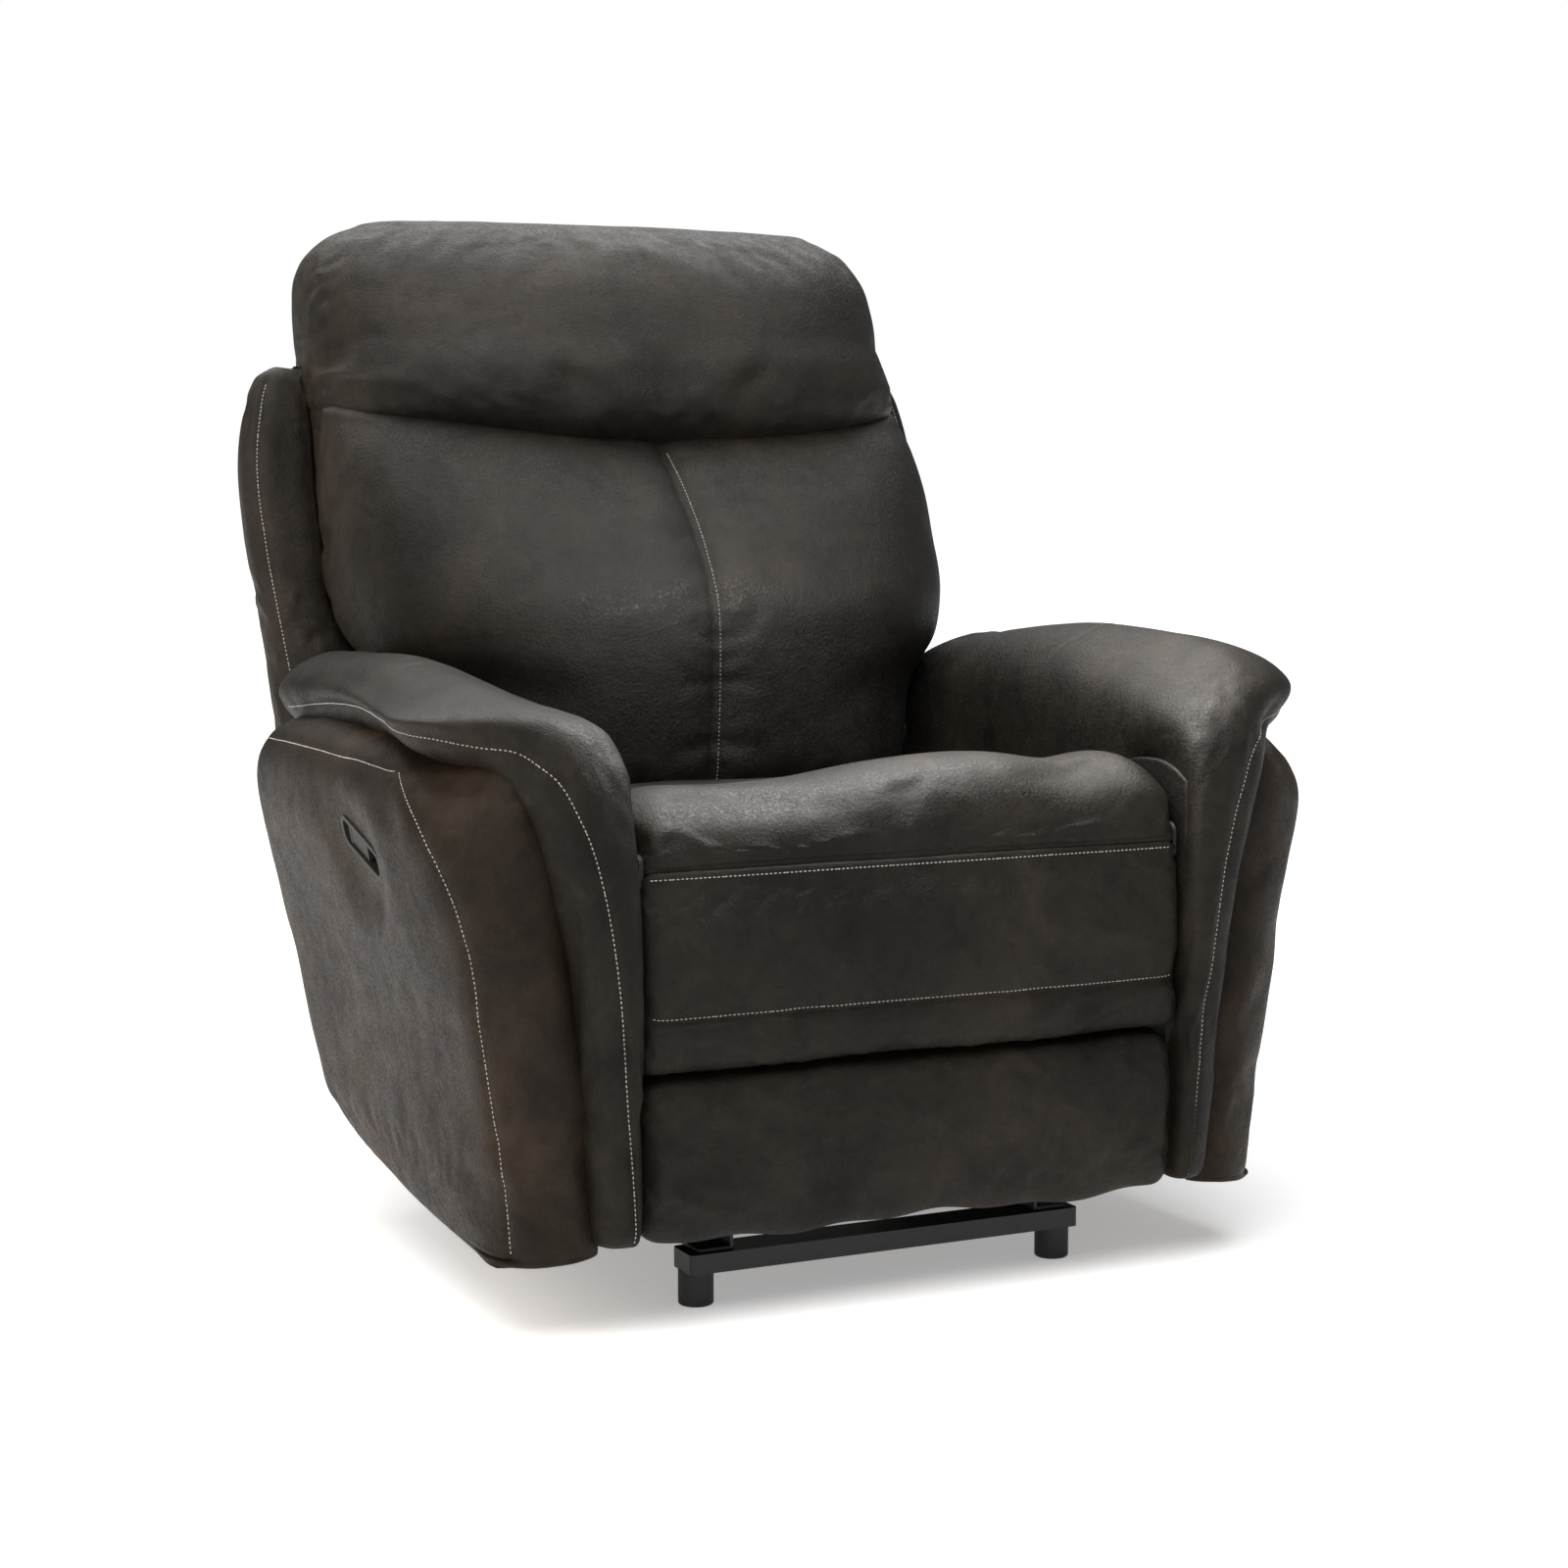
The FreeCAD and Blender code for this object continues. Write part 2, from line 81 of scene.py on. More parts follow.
# ---- surfaces -------------------------------------------------------------------------------
def catmull(points, count, closed, density=None):
    """Resamples points along a smooth curve through them, evenly or more closely where density is high."""
    points = np.asarray(points, float)
    if closed:
        padded = np.concatenate([points[-1:], points, points[:2]])
    else:
        padded = np.concatenate([points[:1], points, points[-1:]])
    p0, p1, p2, p3 = (padded[k:len(padded) - 3 + k, None] for k in range(4))
    t = (np.arange(12) / 12)[None, :, None]
    samples = 0.5 * (2 * p1 + (p2 - p0) * t + (2 * p0 - 5 * p1 + 4 * p2 - p3) * t * t
                     + (3 * p1 - p0 - 3 * p2 + p3) * t ** 3)
    samples = samples.reshape(-1, points.shape[1])
    samples = np.concatenate([samples, points[:1] if closed else points[-1:]])
    steps = np.linalg.norm(np.diff(samples, axis=0), axis=1)
    if density is not None:
        steps = steps * density((samples[1:] + samples[:-1]) / 2)
    reach = np.concatenate([[0], np.cumsum(steps)])
    where = np.linspace(0, reach[-1], count + 1 if closed else count)
    if closed:
        where = where[:-1]
    return np.stack([np.interp(where, reach, column) for column in samples.T], axis=1)


def spline(xs, ys):
    """Smooth function through a few (x, y) pairs."""
    xs = np.asarray(xs, float)
    ys = np.asarray(ys, float)
    slopes = np.gradient(ys, xs)

    def value(x):
        x = np.clip(np.asarray(x, float), xs[0], xs[-1])
        i = np.clip(np.searchsorted(xs, x, side="right") - 1, 0, len(xs) - 2)
        h = xs[i + 1] - xs[i]
        t = (x - xs[i]) / h
        a = 2 * t ** 3 - 3 * t ** 2 + 1
        b = t ** 3 - 2 * t ** 2 + t
        c = -2 * t ** 3 + 3 * t ** 2
        d = t ** 3 - t ** 2
        return a * ys[i] + b * h * slopes[i] + c * ys[i + 1] + d * h * slopes[i + 1]

    return value


def grid_mesh(name, grid):
    """Mesh of rings (stations, points, 3), closed around each ring and across both ends."""
    grid = np.asarray(grid, float)
    stations, count, _ = grid.shape
    verts = [grid.reshape(-1, 3)]
    around = np.arange(count)
    beside = (around + 1) % count
    quads = []
    for s in range(stations - 1):
        low = s * count
        high = low + count
        quads.append(np.stack([low + around, low + beside, high + beside, high + around], axis=1))
    triangles = []
    total = stations * count
    for ring, flip in ((0, True), (stations - 1, False)):
        centre = grid[ring].mean(axis=0)
        previous = ring * count
        for shrink in (0.66, 0.33):
            verts.append(centre + (grid[ring] - centre) * shrink)
            cap = np.stack([previous + around, previous + beside, total + beside, total + around], axis=1)
            quads.append(cap[:, ::-1] if flip else cap)
            previous = total
            total += count
        verts.append(centre[None])
        fan = np.stack([previous + around, previous + beside, np.full(count, total)], axis=1)
        triangles.append(fan[:, ::-1] if flip else fan)
        total += 1
    faces = np.concatenate(quads).tolist() + np.concatenate(triangles).tolist()
    return new_object(name, np.concatenate(verts), faces)


def new_object(name, verts, faces):
    mesh = bpy.data.meshes.new(name)
    mesh.from_pydata(np.asarray(verts, float).tolist(), [], faces)
    mesh.update()
    obj = bpy.data.objects.new(name, mesh)
    bpy.context.scene.collection.objects.link(obj)
    outward(obj)
    mesh.polygons.foreach_set("use_smooth", [True] * len(mesh.polygons))
    return obj


def outward(obj):
    """Turns a closed mesh's faces outwards."""
    mesh = obj.data
    mesh.calc_loop_triangles()
    corners = np.zeros(len(mesh.loop_triangles) * 3, dtype=np.int32)
    mesh.loop_triangles.foreach_get("vertices", corners)
    a, b, c = coordinates(obj)[corners.reshape(-1, 3)].transpose(1, 0, 2)
    if np.sum(a * np.cross(b, c)) < 0:
        mesh.flip_normals()


def subdivided(obj, levels=1):
    """Smooths a piece by subdividing its faces."""
    smoother = obj.modifiers.new("smoother", "SUBSURF")
    smoother.levels = levels
    smoother.render_levels = levels
    apply_modifiers(obj)
    obj.data.polygons.foreach_set("use_smooth", [True] * len(obj.data.polygons))


def apply_modifiers(obj):
    depsgraph = bpy.context.evaluated_depsgraph_get()
    depsgraph.update()
    mesh = bpy.data.meshes.new_from_object(obj.evaluated_get(depsgraph))
    obj.modifiers.clear()
    obj.data = mesh


def coordinates(obj):
    co = np.zeros(len(obj.data.vertices) * 3)
    obj.data.vertices.foreach_get("co", co)
    return co.reshape(-1, 3)


def set_coordinates(obj, co):
    obj.data.vertices.foreach_set("co", np.asarray(co, float).ravel())
    obj.data.update()


def normals(obj):
    no = np.zeros(len(obj.data.vertices) * 3)
    obj.data.vertex_normals.foreach_get("vector", no)
    return no.reshape(-1, 3)


def push(obj, amount):
    """Moves each vertex along its normal."""
    set_coordinates(obj, coordinates(obj) + normals(obj) * np.asarray(amount)[:, None])


def line_distance(obj, line):
    tree = KDTree(len(line))
    for i, p in enumerate(line):
        tree.insert(Vector(p), i)
    tree.balance()
    return np.array([tree.find(Vector(v))[2] for v in coordinates(obj)])


def dense(line, step=0.003):
    line = np.asarray(line, float)
    length = np.linalg.norm(np.diff(line, axis=0), axis=1).sum()
    return catmull(line, max(8, int(length / step)), False)


def seam(obj, line, depth=0.004, width=0.005, swell=0.0, swell_width=0.03):
    """Sinks a sewn seam into a surface, with the padding swelling up beside it."""
    d = line_distance(obj, dense(line))
    groove = -depth * np.exp(-(d / width) ** 2)
    puff = swell * np.exp(-((d - swell_width) / swell_width) ** 2)
    push(obj, groove + puff)


def rumple(obj, size, height, seed, stretch=(1, 1, 1), mask=None):
    """Soft uneven padding and creases from smooth noise."""
    co = coordinates(obj)
    offset = Vector((seed * 3.1, seed * 1.7, seed * 2.3))
    scale = np.asarray(stretch, float) / size
    amount = np.array([noise.noise(Vector(p * scale) + offset) for p in co]) * height
    if mask is not None:
        amount = amount * mask(co)
    push(obj, amount)


def gathers(obj, line, length, depth, pitch, seed, run):
    """Short puckers that run away from a seam along the direction run."""
    co = coordinates(obj)
    d = line_distance(obj, dense(line))
    run = np.asarray(run, float) / np.linalg.norm(run)
    across = co - np.outer(co @ run, run)
    phase = np.array([noise.noise(Vector(p / pitch) + Vector((seed, seed, seed))) for p in across])
    push(obj, phase * depth * np.exp(-(d / length) ** 2))


def snapped(obj, line, step=0.0015, window=17):
    """A line laid onto a surface and evened out: points and normals, evenly spaced."""
    depsgraph = bpy.context.evaluated_depsgraph_get()
    depsgraph.update()
    tree = BVHTree.FromObject(obj, depsgraph)
    first = np.array([tree.find_nearest(Vector(p))[0] for p in dense(line, step)])
    half = window // 2
    padded = np.concatenate([np.repeat(first[:1], half, 0), first, np.repeat(first[-1:], half, 0)])
    even = np.stack([np.convolve(column, np.ones(window) / window, "valid") for column in padded.T], axis=1)
    points = []
    ups = []
    for p in even:
        place, normal, _, _ = tree.find_nearest(Vector(p))
        points.append(place)
        ups.append(normal)
    return points, ups


def stitches(name, obj, line, lift=0.0004, pitch=STITCH_PITCH):
    """Topstitching: short thread dashes that lie on a surface along a line."""
    points, ups = snapped(obj, line)
    reach = [0.0]
    for a, b in zip(points, points[1:]):
        reach.append(reach[-1] + (b - a).length)
    verts = []
    faces = []
    sides = STITCH_SIDES
    profile = ((-0.5, 0.35), (-0.38, 0.9), (0.0, 1.0), (0.38, 0.9), (0.5, 0.35))
    index = 0
    for k in range(int(reach[-1] / pitch)):
        middle = (k + 0.5) * pitch
        while index < len(reach) - 2 and reach[index + 1] < middle:
            index += 1
        along = (points[index + 1] - points[index]).normalized()
        up = ups[index]
        side = along.cross(up).normalized()
        up = side.cross(along).normalized()
        tilt = 0.10 * math.sin(k * 2.4)
        along = (along + side * tilt).normalized()
        centre = points[index] + up * lift
        base = len(verts)
        for place, swell in profile:
            sink = up * (-STITCH_SINK * (2 * place) ** 2)
            for j in range(sides):
                angle = 2 * math.pi * j / sides
                ring = side * math.cos(angle) + up * math.sin(angle)
                verts.append(centre + along * (place * STITCH_LENGTH) + ring * STITCH_RADIUS * swell + sink)
        for r in range(len(profile) - 1):
            for j in range(sides):
                m = (j + 1) % sides
                a = base + r * sides
                faces.append((a + j, a + m, a + sides + m, a + sides + j))
        faces.append(tuple(base + j for j in reversed(range(sides))))
        top = base + (len(profile) - 1) * sides
        faces.append(tuple(top + j for j in range(sides)))
    mesh = bpy.data.meshes.new(name)
    mesh.from_pydata([tuple(v) for v in verts], [], faces)
    for polygon in mesh.polygons:
        polygon.use_smooth = True
    thread = bpy.data.objects.new(name, mesh)
    bpy.context.scene.collection.objects.link(thread)
    thread.data.materials.append(MATERIALS["thread"])
    return thread


def ring_of(half_x, front, rear, count, squareness=3.2, centre_x=0.0):
    """Rounded rectangle in plan: a superellipse, as (x, y) pairs starting at the rear middle."""
    angles = np.linspace(0, 2 * np.pi, count, endpoint=False) + np.pi / 2
    power = 2.0 / squareness
    c = np.cos(angles)
    s = np.sin(angles)
    x = centre_x + half_x * np.sign(c) * np.abs(c) ** power
    y = (front + rear) / 2 + (rear - front) / 2 * np.sign(s) * np.abs(s) ** power
    return catmull(np.stack([x, y], axis=1), count, True)


# ---- materials ------------------------------------------------------------------------------
class Nodes:
    """Short way to build a material's node tree."""

    def __init__(self, name):
        self.material = bpy.data.materials.new(name)
        self.material.use_nodes = True
        self.tree = self.material.node_tree
        self.shader = self.tree.nodes["Principled BSDF"]
        self.coordinates = self.add("ShaderNodeTexCoord").outputs["Object"]

    def add(self, kind, **inputs):
        node = self.tree.nodes.new(kind)
        for key, value in inputs.items():
            self.feed(node, key.replace("_", " "), value)
        return node

    def feed(self, node, key, value):
        if hasattr(value, "is_linked"):
            self.tree.links.new(value, node.inputs[key])
        else:
            node.inputs[key].default_value = value

    def noise(self, scale, detail=4.0, roughness=0.55, distortion=0.0, vector=None):
        node = self.add("ShaderNodeTexNoise", Scale=scale, Detail=detail, Roughness=roughness,
                        Distortion=distortion, Vector=vector or self.coordinates)
        return node.outputs["Fac"]

    def cells(self, scale, feature="DISTANCE_TO_EDGE", randomness=1.0, vector=None):
        node = self.add("ShaderNodeTexVoronoi", Scale=scale, Randomness=randomness,
                        Vector=vector or self.coordinates)
        node.feature = feature
        return node.outputs["Distance"]

    def ramp(self, value, stops):
        node = self.add("ShaderNodeValToRGB", Fac=value)
        elements = node.color_ramp.elements
        while len(elements) < len(stops):
            elements.new(0.5)
        for element, (place, colour) in zip(elements, stops):
            element.position = place
            element.color = colour if len(colour) == 4 else (*colour, 1)
        return node.outputs["Color"]

    def mix(self, factor, a, b, blend="MIX"):
        node = self.tree.nodes.new("ShaderNodeMix")
        node.data_type = "RGBA"
        node.blend_type = blend
        for index, value in ((0, factor), (6, a), (7, b)):
            if hasattr(value, "is_linked"):
                self.tree.links.new(value, node.inputs[index])
            else:
                node.inputs[index].default_value = value
        return node.outputs[2]

    def math(self, operation, a, b=0.0):
        node = self.tree.nodes.new("ShaderNodeMath")
        node.operation = operation
        for index, value in ((0, a), (1, b)):
            if hasattr(value, "is_linked"):
                self.tree.links.new(value, node.inputs[index])
            else:
                node.inputs[index].default_value = value
        return node.outputs[0]

    def span(self, value, low, high):
        node = self.add("ShaderNodeMapRange", Value=value, To_Min=low, To_Max=high)
        return node.outputs["Result"]

    def bump(self, height, strength, distance, normal=None):
        node = self.add("ShaderNodeBump", Height=height, Strength=strength, Distance=distance)
        if normal is not None:
            self.feed(node, "Normal", normal)
        return node.outputs["Normal"]


def rgb(r, g, b):
    """Linear colour of an 8-bit screen colour."""
    def channel(v):
        v /= 255
        return v / 12.92 if v <= 0.04045 else ((v + 0.055) / 1.055) ** 2.4
    return (channel(r), channel(g), channel(b), 1.0)


def leather_material(name, dark, mid, light, worn):
    """Distressed suede-look leather: clouded colour, crackled finish, pitted glossy crowns."""
    n = Nodes(name)
    clouds = n.noise(5.5, 6, 0.62, 0.6)
    patches = n.noise(21.0, 5, 0.65, 1.2)
    specks = n.noise(160.0, 3, 0.6)
    base = n.ramp(clouds, [(0.30, dark), (0.50, mid), (0.72, light)])
    blotch = n.ramp(patches, [(0.36, (0.62, 0.60, 0.58)), (0.52, (1, 1, 1)), (0.70, (1.22, 1.17, 1.12))])
    base = n.mix(0.75, base, blotch, "MULTIPLY")
    pepper = n.ramp(specks, [(0.35, (0.80, 0.80, 0.80)), (0.60, (1.1, 1.1, 1.1))])
    base = n.mix(0.55, base, pepper, "MULTIPLY")
    rub = n.ramp(n.noise(60.0, 6, 0.7, 0.8), [(0.60, (0, 0, 0)), (0.74, (1, 1, 1))])
    base = n.mix(n.math("MULTIPLY", rub, 0.16), base, worn)
    n.feed(n.shader, "Base Color", base)
    rough = n.span(n.noise(34.0, 6, 0.7, 0.5), 0.26, 0.66)
    drift = n.add("ShaderNodeTexNoise", Scale=55.0, Vector=n.coordinates).outputs["Color"]
    wander = n.mix(0.012, n.coordinates, drift)
    crackle = n.cells(300.0, vector=wander)
    worn_patch = n.ramp(n.noise(26.0, 5, 0.65, 0.9), [(0.50, (1, 1, 1)), (0.64, (0, 0, 0))])
    crack = n.math("MAXIMUM", n.ramp(crackle, [(0.0, (0, 0, 0)), (0.12, (1, 1, 1))]), worn_patch)
    pits = n.ramp(n.noise(330.0, 4, 0.7), [(0.40, (0, 0, 0)), (0.56, (1, 1, 1))])
    rough = n.math("ADD", rough, n.math("MULTIPLY", n.math("SUBTRACT", 1.0, pits), 0.14))
    n.feed(n.shader, "Roughness", rough)
    height = n.math("ADD", n.math("MULTIPLY", crack, 0.35), n.math("MULTIPLY", pits, 0.65))
    normal = n.bump(height, 0.50, 0.0007)
    soft = n.noise(75.0, 5, 0.6, 0.4)
    n.feed(n.shader, "Normal", n.bump(soft, 0.30, 0.0022, normal))
    n.shader.inputs["Specular IOR Level"].default_value = 0.14
    return n.material


def thread_material():
    n = Nodes("thread")
    twist = n.noise(900.0, 2, 0.5)
    n.feed(n.shader, "Base Color", n.ramp(twist, [(0.3, rgb(150, 146, 136)), (0.7, rgb(206, 202, 192))]))
    n.shader.inputs["Roughness"].default_value = 0.7
    n.feed(n.shader, "Normal", n.bump(twist, 0.4, 0.0003))
    return n.material


def metal_material(name, colour, roughness, metallic, grain=220.0):
    """Powder-coated or brushed metal with faint handling marks."""
    n = Nodes(name)
    peel = n.noise(grain, 4, 0.6)
    marks = n.noise(18.0, 5, 0.6, 0.8)
    darker, lighter = (tuple(c * share for c in colour[:3]) for share in (0.75, 1.25))
    tone = n.ramp(marks, [(0.3, darker), (0.7, lighter)])
    n.feed(n.shader, "Base Color", tone)
    n.feed(n.shader, "Roughness", n.span(marks, roughness - 0.08, roughness + 0.12))
    n.shader.inputs["Metallic"].default_value = metallic
    n.feed(n.shader, "Normal", n.bump(peel, 0.18, 0.0004))
    return n.material


def wood_material(name, light, dark, ply=False):
    n = Nodes(name)
    mapping = n.add("ShaderNodeMapping", Vector=n.coordinates)
    mapping.inputs["Scale"].default_value = (1.0, 0.12, 1.0) if not ply else (0.3, 0.3, 1.6)
    rings = n.noise(42.0, 5, 0.6, 2.2, mapping.outputs["Vector"])
    fibre = n.noise(420.0, 3, 0.6, 0.3, mapping.outputs["Vector"])
    colour = n.ramp(rings, [(0.34, dark), (0.62, light)])
    colour = n.mix(0.25, colour, n.ramp(fibre, [(0.3, (0.6, 0.6, 0.6)), (0.7, (1.1, 1.1, 1.1))]), "MULTIPLY")
    n.feed(n.shader, "Base Color", colour)
    n.feed(n.shader, "Roughness", n.span(fibre, 0.55, 0.8))
    n.feed(n.shader, "Normal", n.bump(fibre, 0.25, 0.0004))
    return n.material


MATERIALS = {
    "leather": leather_material("distressed_leather", rgb(17, 15, 11), rgb(31, 27, 22), rgb(44, 38, 31),
                                rgb(78, 72, 65)),
    "side_leather": leather_material("side_leather", rgb(20, 15, 10), rgb(35, 27, 19), rgb(52, 41, 30),
                                     rgb(76, 66, 54)),
    "thread": thread_material(),
    "base_steel": metal_material("black_steel", rgb(16, 16, 17), 0.42, 0.3),
    "mechanism_steel": metal_material("mechanism_steel", rgb(20, 20, 21), 0.62, 0.15),
    "spring_steel": metal_material("spring_wire", rgb(150, 150, 152), 0.35, 1.0),
    "latch_metal": metal_material("latch_bronze", rgb(26, 23, 18), 0.60, 0.0),
    "foot_plastic": metal_material("foot_plastic", rgb(14, 14, 14), 0.62, 0.0, 700.0),
    "plywood": wood_material("plywood", rgb(206, 172, 128), rgb(168, 132, 92), True),
    "hardwood": wood_material("hardwood", rgb(190, 150, 104), rgb(150, 110, 72)),
}


def cover(obj, body, *nodes, fill=0.6, material="leather"):
    """Finishes an upholstered piece: material, body and the CAD solids it stands for."""
    obj.data.materials.clear()
    obj.data.materials.append(MATERIALS[material])
    if body:
        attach(obj, body)
    if nodes:
        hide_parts(*nodes)
    return obj


def flip(line):
    """Mirror image of a stitch line, for the other side of the chair."""
    return [(-p[0], p[1], p[2]) for p in line]


def mirrored(obj, name):
    """Copy of an object mirrored left to right."""
    mesh = obj.data.copy()
    other = bpy.data.objects.new(name, mesh)
    bpy.context.scene.collection.objects.link(other)
    set_coordinates(other, coordinates(other) * (-1, 1, 1))
    mesh.flip_normals()
    return other


# ---- cloth ----------------------------------------------------------------------------------
def fade(values, start, end):
    """Smooth share from 0 at start to 1 at end, either way round."""
    t = np.clip((values - start) / (end - start), 0, 1)
    return t * t * (3 - 2 * t)


def inflate(obj, pinned, pressure=2.0, cap=0.008, slack=0.03, frames=14):
    """Lets a cover settle as slack cloth blown up by its filling, sewn down where pinned."""
    before = coordinates(obj)
    hold = pinned(before)
    group = obj.vertex_groups.new(name="sewn")
    for index in np.nonzero(hold > 0.01)[0]:
        group.add([int(index)], float(hold[index]), "REPLACE")
    cloth = obj.modifiers.new("cloth", "CLOTH")
    settings = cloth.settings
    settings.quality = 4
    settings.mass = 0.3
    settings.tension_stiffness = 18.0
    settings.compression_stiffness = 18.0
    settings.shear_stiffness = 6.0
    settings.bending_stiffness = 0.4
    settings.air_damping = 3.0
    settings.shrink_min = -slack
    settings.use_pressure = True
    settings.uniform_pressure_force = pressure
    settings.vertex_group_mass = "sewn"
    settings.effector_weights.gravity = 0.0
    cloth.collision_settings.use_collision = False
    cloth.point_cache.frame_start = 1
    cloth.point_cache.frame_end = frames
    scene = bpy.context.scene
    for number in range(1, frames + 1):
        scene.frame_set(number)
    shape = obj.evaluated_get(bpy.context.evaluated_depsgraph_get())
    result = shape.to_mesh()
    after = np.zeros(len(result.vertices) * 3)
    result.vertices.foreach_get("co", after)
    after = after.reshape(-1, 3)
    shape.to_mesh_clear()
    obj.modifiers.remove(cloth)
    obj.vertex_groups.clear()
    scene.frame_set(1)
    move = after - before
    facing = normals(obj)
    inward = np.clip(np.sum(move * facing, axis=1) + 0.0015, None, 0)
    move -= inward[:, None] * facing
    length = np.linalg.norm(move, axis=1, keepdims=True) + 1e-9
    set_coordinates(obj, before + move / length * (cap * np.tanh(length / cap)))


# ---- camera, lights and floor -------------------------------------------------------------------
def make_camera():
    data = bpy.data.cameras.new("camera")
    data.sensor_width = 36.0
    data.lens = CAMERA_LENS
    camera = bpy.data.objects.new("camera", data)
    camera.location = CAMERA_PLACE
    camera.rotation_euler = (math.pi / 2 - CAMERA_DIP, 0, CAMERA_TURN)
    bpy.context.scene.collection.objects.link(camera)
    bpy.context.scene.camera = camera


def make_light(name, place, target, size, power, colour=(1, 1, 1), diffuse=True, glossy=True):
    data = bpy.data.lights.new(name, "AREA")
    data.shape = "RECTANGLE"
    data.size = size[0]
    data.size_y = size[1]
    data.energy = power
    data.color = colour
    light = bpy.data.objects.new(name, data)
    light.location = place
    light.rotation_euler = (Vector(target) - Vector(place)).to_track_quat("-Z", "Y").to_euler()
    light.visible_diffuse = diffuse
    light.visible_camera = False
    light.visible_glossy = glossy
    bpy.context.scene.collection.objects.link(light)


def make_sun(direction, strength, angle):
    data = bpy.data.lights.new("sun", "SUN")
    data.energy = strength
    data.angle = math.radians(angle)
    sun = bpy.data.objects.new("sun", data)
    sun.rotation_euler = Vector(direction).to_track_quat("Z", "Y").to_euler()
    sun.visible_glossy = False
    bpy.context.scene.collection.objects.link(sun)


def make_stage():
    floor = new_object("floor", [(-30, -30, 0), (30, -30, 0), (30, 30, 0), (-30, 30, 0)], [(0, 1, 2, 3)])
    n = Nodes("floor")
    pale = n.ramp(n.noise(0.8), [(0.3, (0.93, 0.93, 0.93)), (0.7, (0.95, 0.95, 0.95))])
    n.feed(n.shader, "Base Color", pale)
    n.shader.inputs["Roughness"].default_value = 0.9
    n.shader.inputs["Emission Color"].default_value = (1, 1, 1, 1)
    n.shader.inputs["Emission Strength"].default_value = FLOOR_GLOW
    floor.data.materials.append(n.material)
    world = bpy.data.worlds.new("world")
    world.use_nodes = True
    tree = world.node_tree
    background = tree.nodes["Background"]
    background.inputs["Color"].default_value = (1, 1, 1, 1)
    path = tree.nodes.new("ShaderNodeLightPath")
    level = tree.nodes.new("ShaderNodeMapRange")
    level.inputs["To Min"].default_value = WORLD_LIGHT
    level.inputs["To Max"].default_value = 1.0
    tree.links.new(path.outputs["Is Camera Ray"], level.inputs["Value"])
    tree.links.new(level.outputs["Result"], background.inputs["Strength"])
    bpy.context.scene.world = world
    make_sun((-0.25, -0.25, 1.0), 3.0, 60)
    make_light("left_softbox", (-2.7, -0.1, 1.3), (0, 0, 0.4), (1.6, 1.6), 48, (1, 0.92, 0.84), glossy=False)
    make_light("rear_softbox", (0.1, 0.8, 2.6), (0, -0.1, 0.5), (3.0, 2.4), 120, diffuse=False)
    make_light("crown_softbox", (-0.2, -0.75, 2.1), (0, -0.3, 0.5), (2.0, 1.1), 34, diffuse=False)
    make_light("seat_softbox", (0.12, -0.40, 0.90), (0.12, -0.40, 0.0), (0.45, 0.32), 13, diffuse=False)
    make_light("front_softbox", (-2.1, -2.4, 2.2), (0, 0, 0.7), (0.9, 0.9), 26, diffuse=False)
    bpy.context.scene.view_settings.view_transform = "Standard"


# ---- seat and footrest ------------------------------------------------------------------------
def inset_ring(ring, distance):
    """Moves a closed 2-D outline inwards."""
    ahead = np.roll(ring, -1, axis=0) - np.roll(ring, 1, axis=0)
    normal = np.stack([-ahead[:, 1], ahead[:, 0]], axis=1)
    normal /= np.linalg.norm(normal, axis=1, keepdims=True) + 1e-12
    area = np.sum(ring[:, 0] * np.roll(ring[:, 1], -1) - np.roll(ring[:, 0], -1) * ring[:, 1])
    return ring + normal * distance * (1 if area > 0 else -1)


def cross_loft(name, profile, half, radius, stations, count, shape=None, density=None):
    """Upholstered bar across the chair: a (y, z) outline run along X with rounded ends."""
    ring = catmull(profile, count, True, density)
    inner = np.linspace(-(half - radius), half - radius, stations)
    angles = np.linspace(0, math.pi / 2, 9)[1:]
    ends = half - radius + radius * np.sin(angles)
    xs = np.concatenate([-ends[::-1], inner, ends])
    grid = []
    for x in xs:
        over = max(0.0, abs(x) - (half - radius)) / radius
        cut = radius * (1 - math.sqrt(max(0.0, 1 - over * over)))
        section = inset_ring(ring, min(cut, radius * 0.93))
        if shape:
            section = shape(x, section)
        grid.append(np.column_stack([np.full(len(section), x), section]))
    return grid_mesh(name, grid)


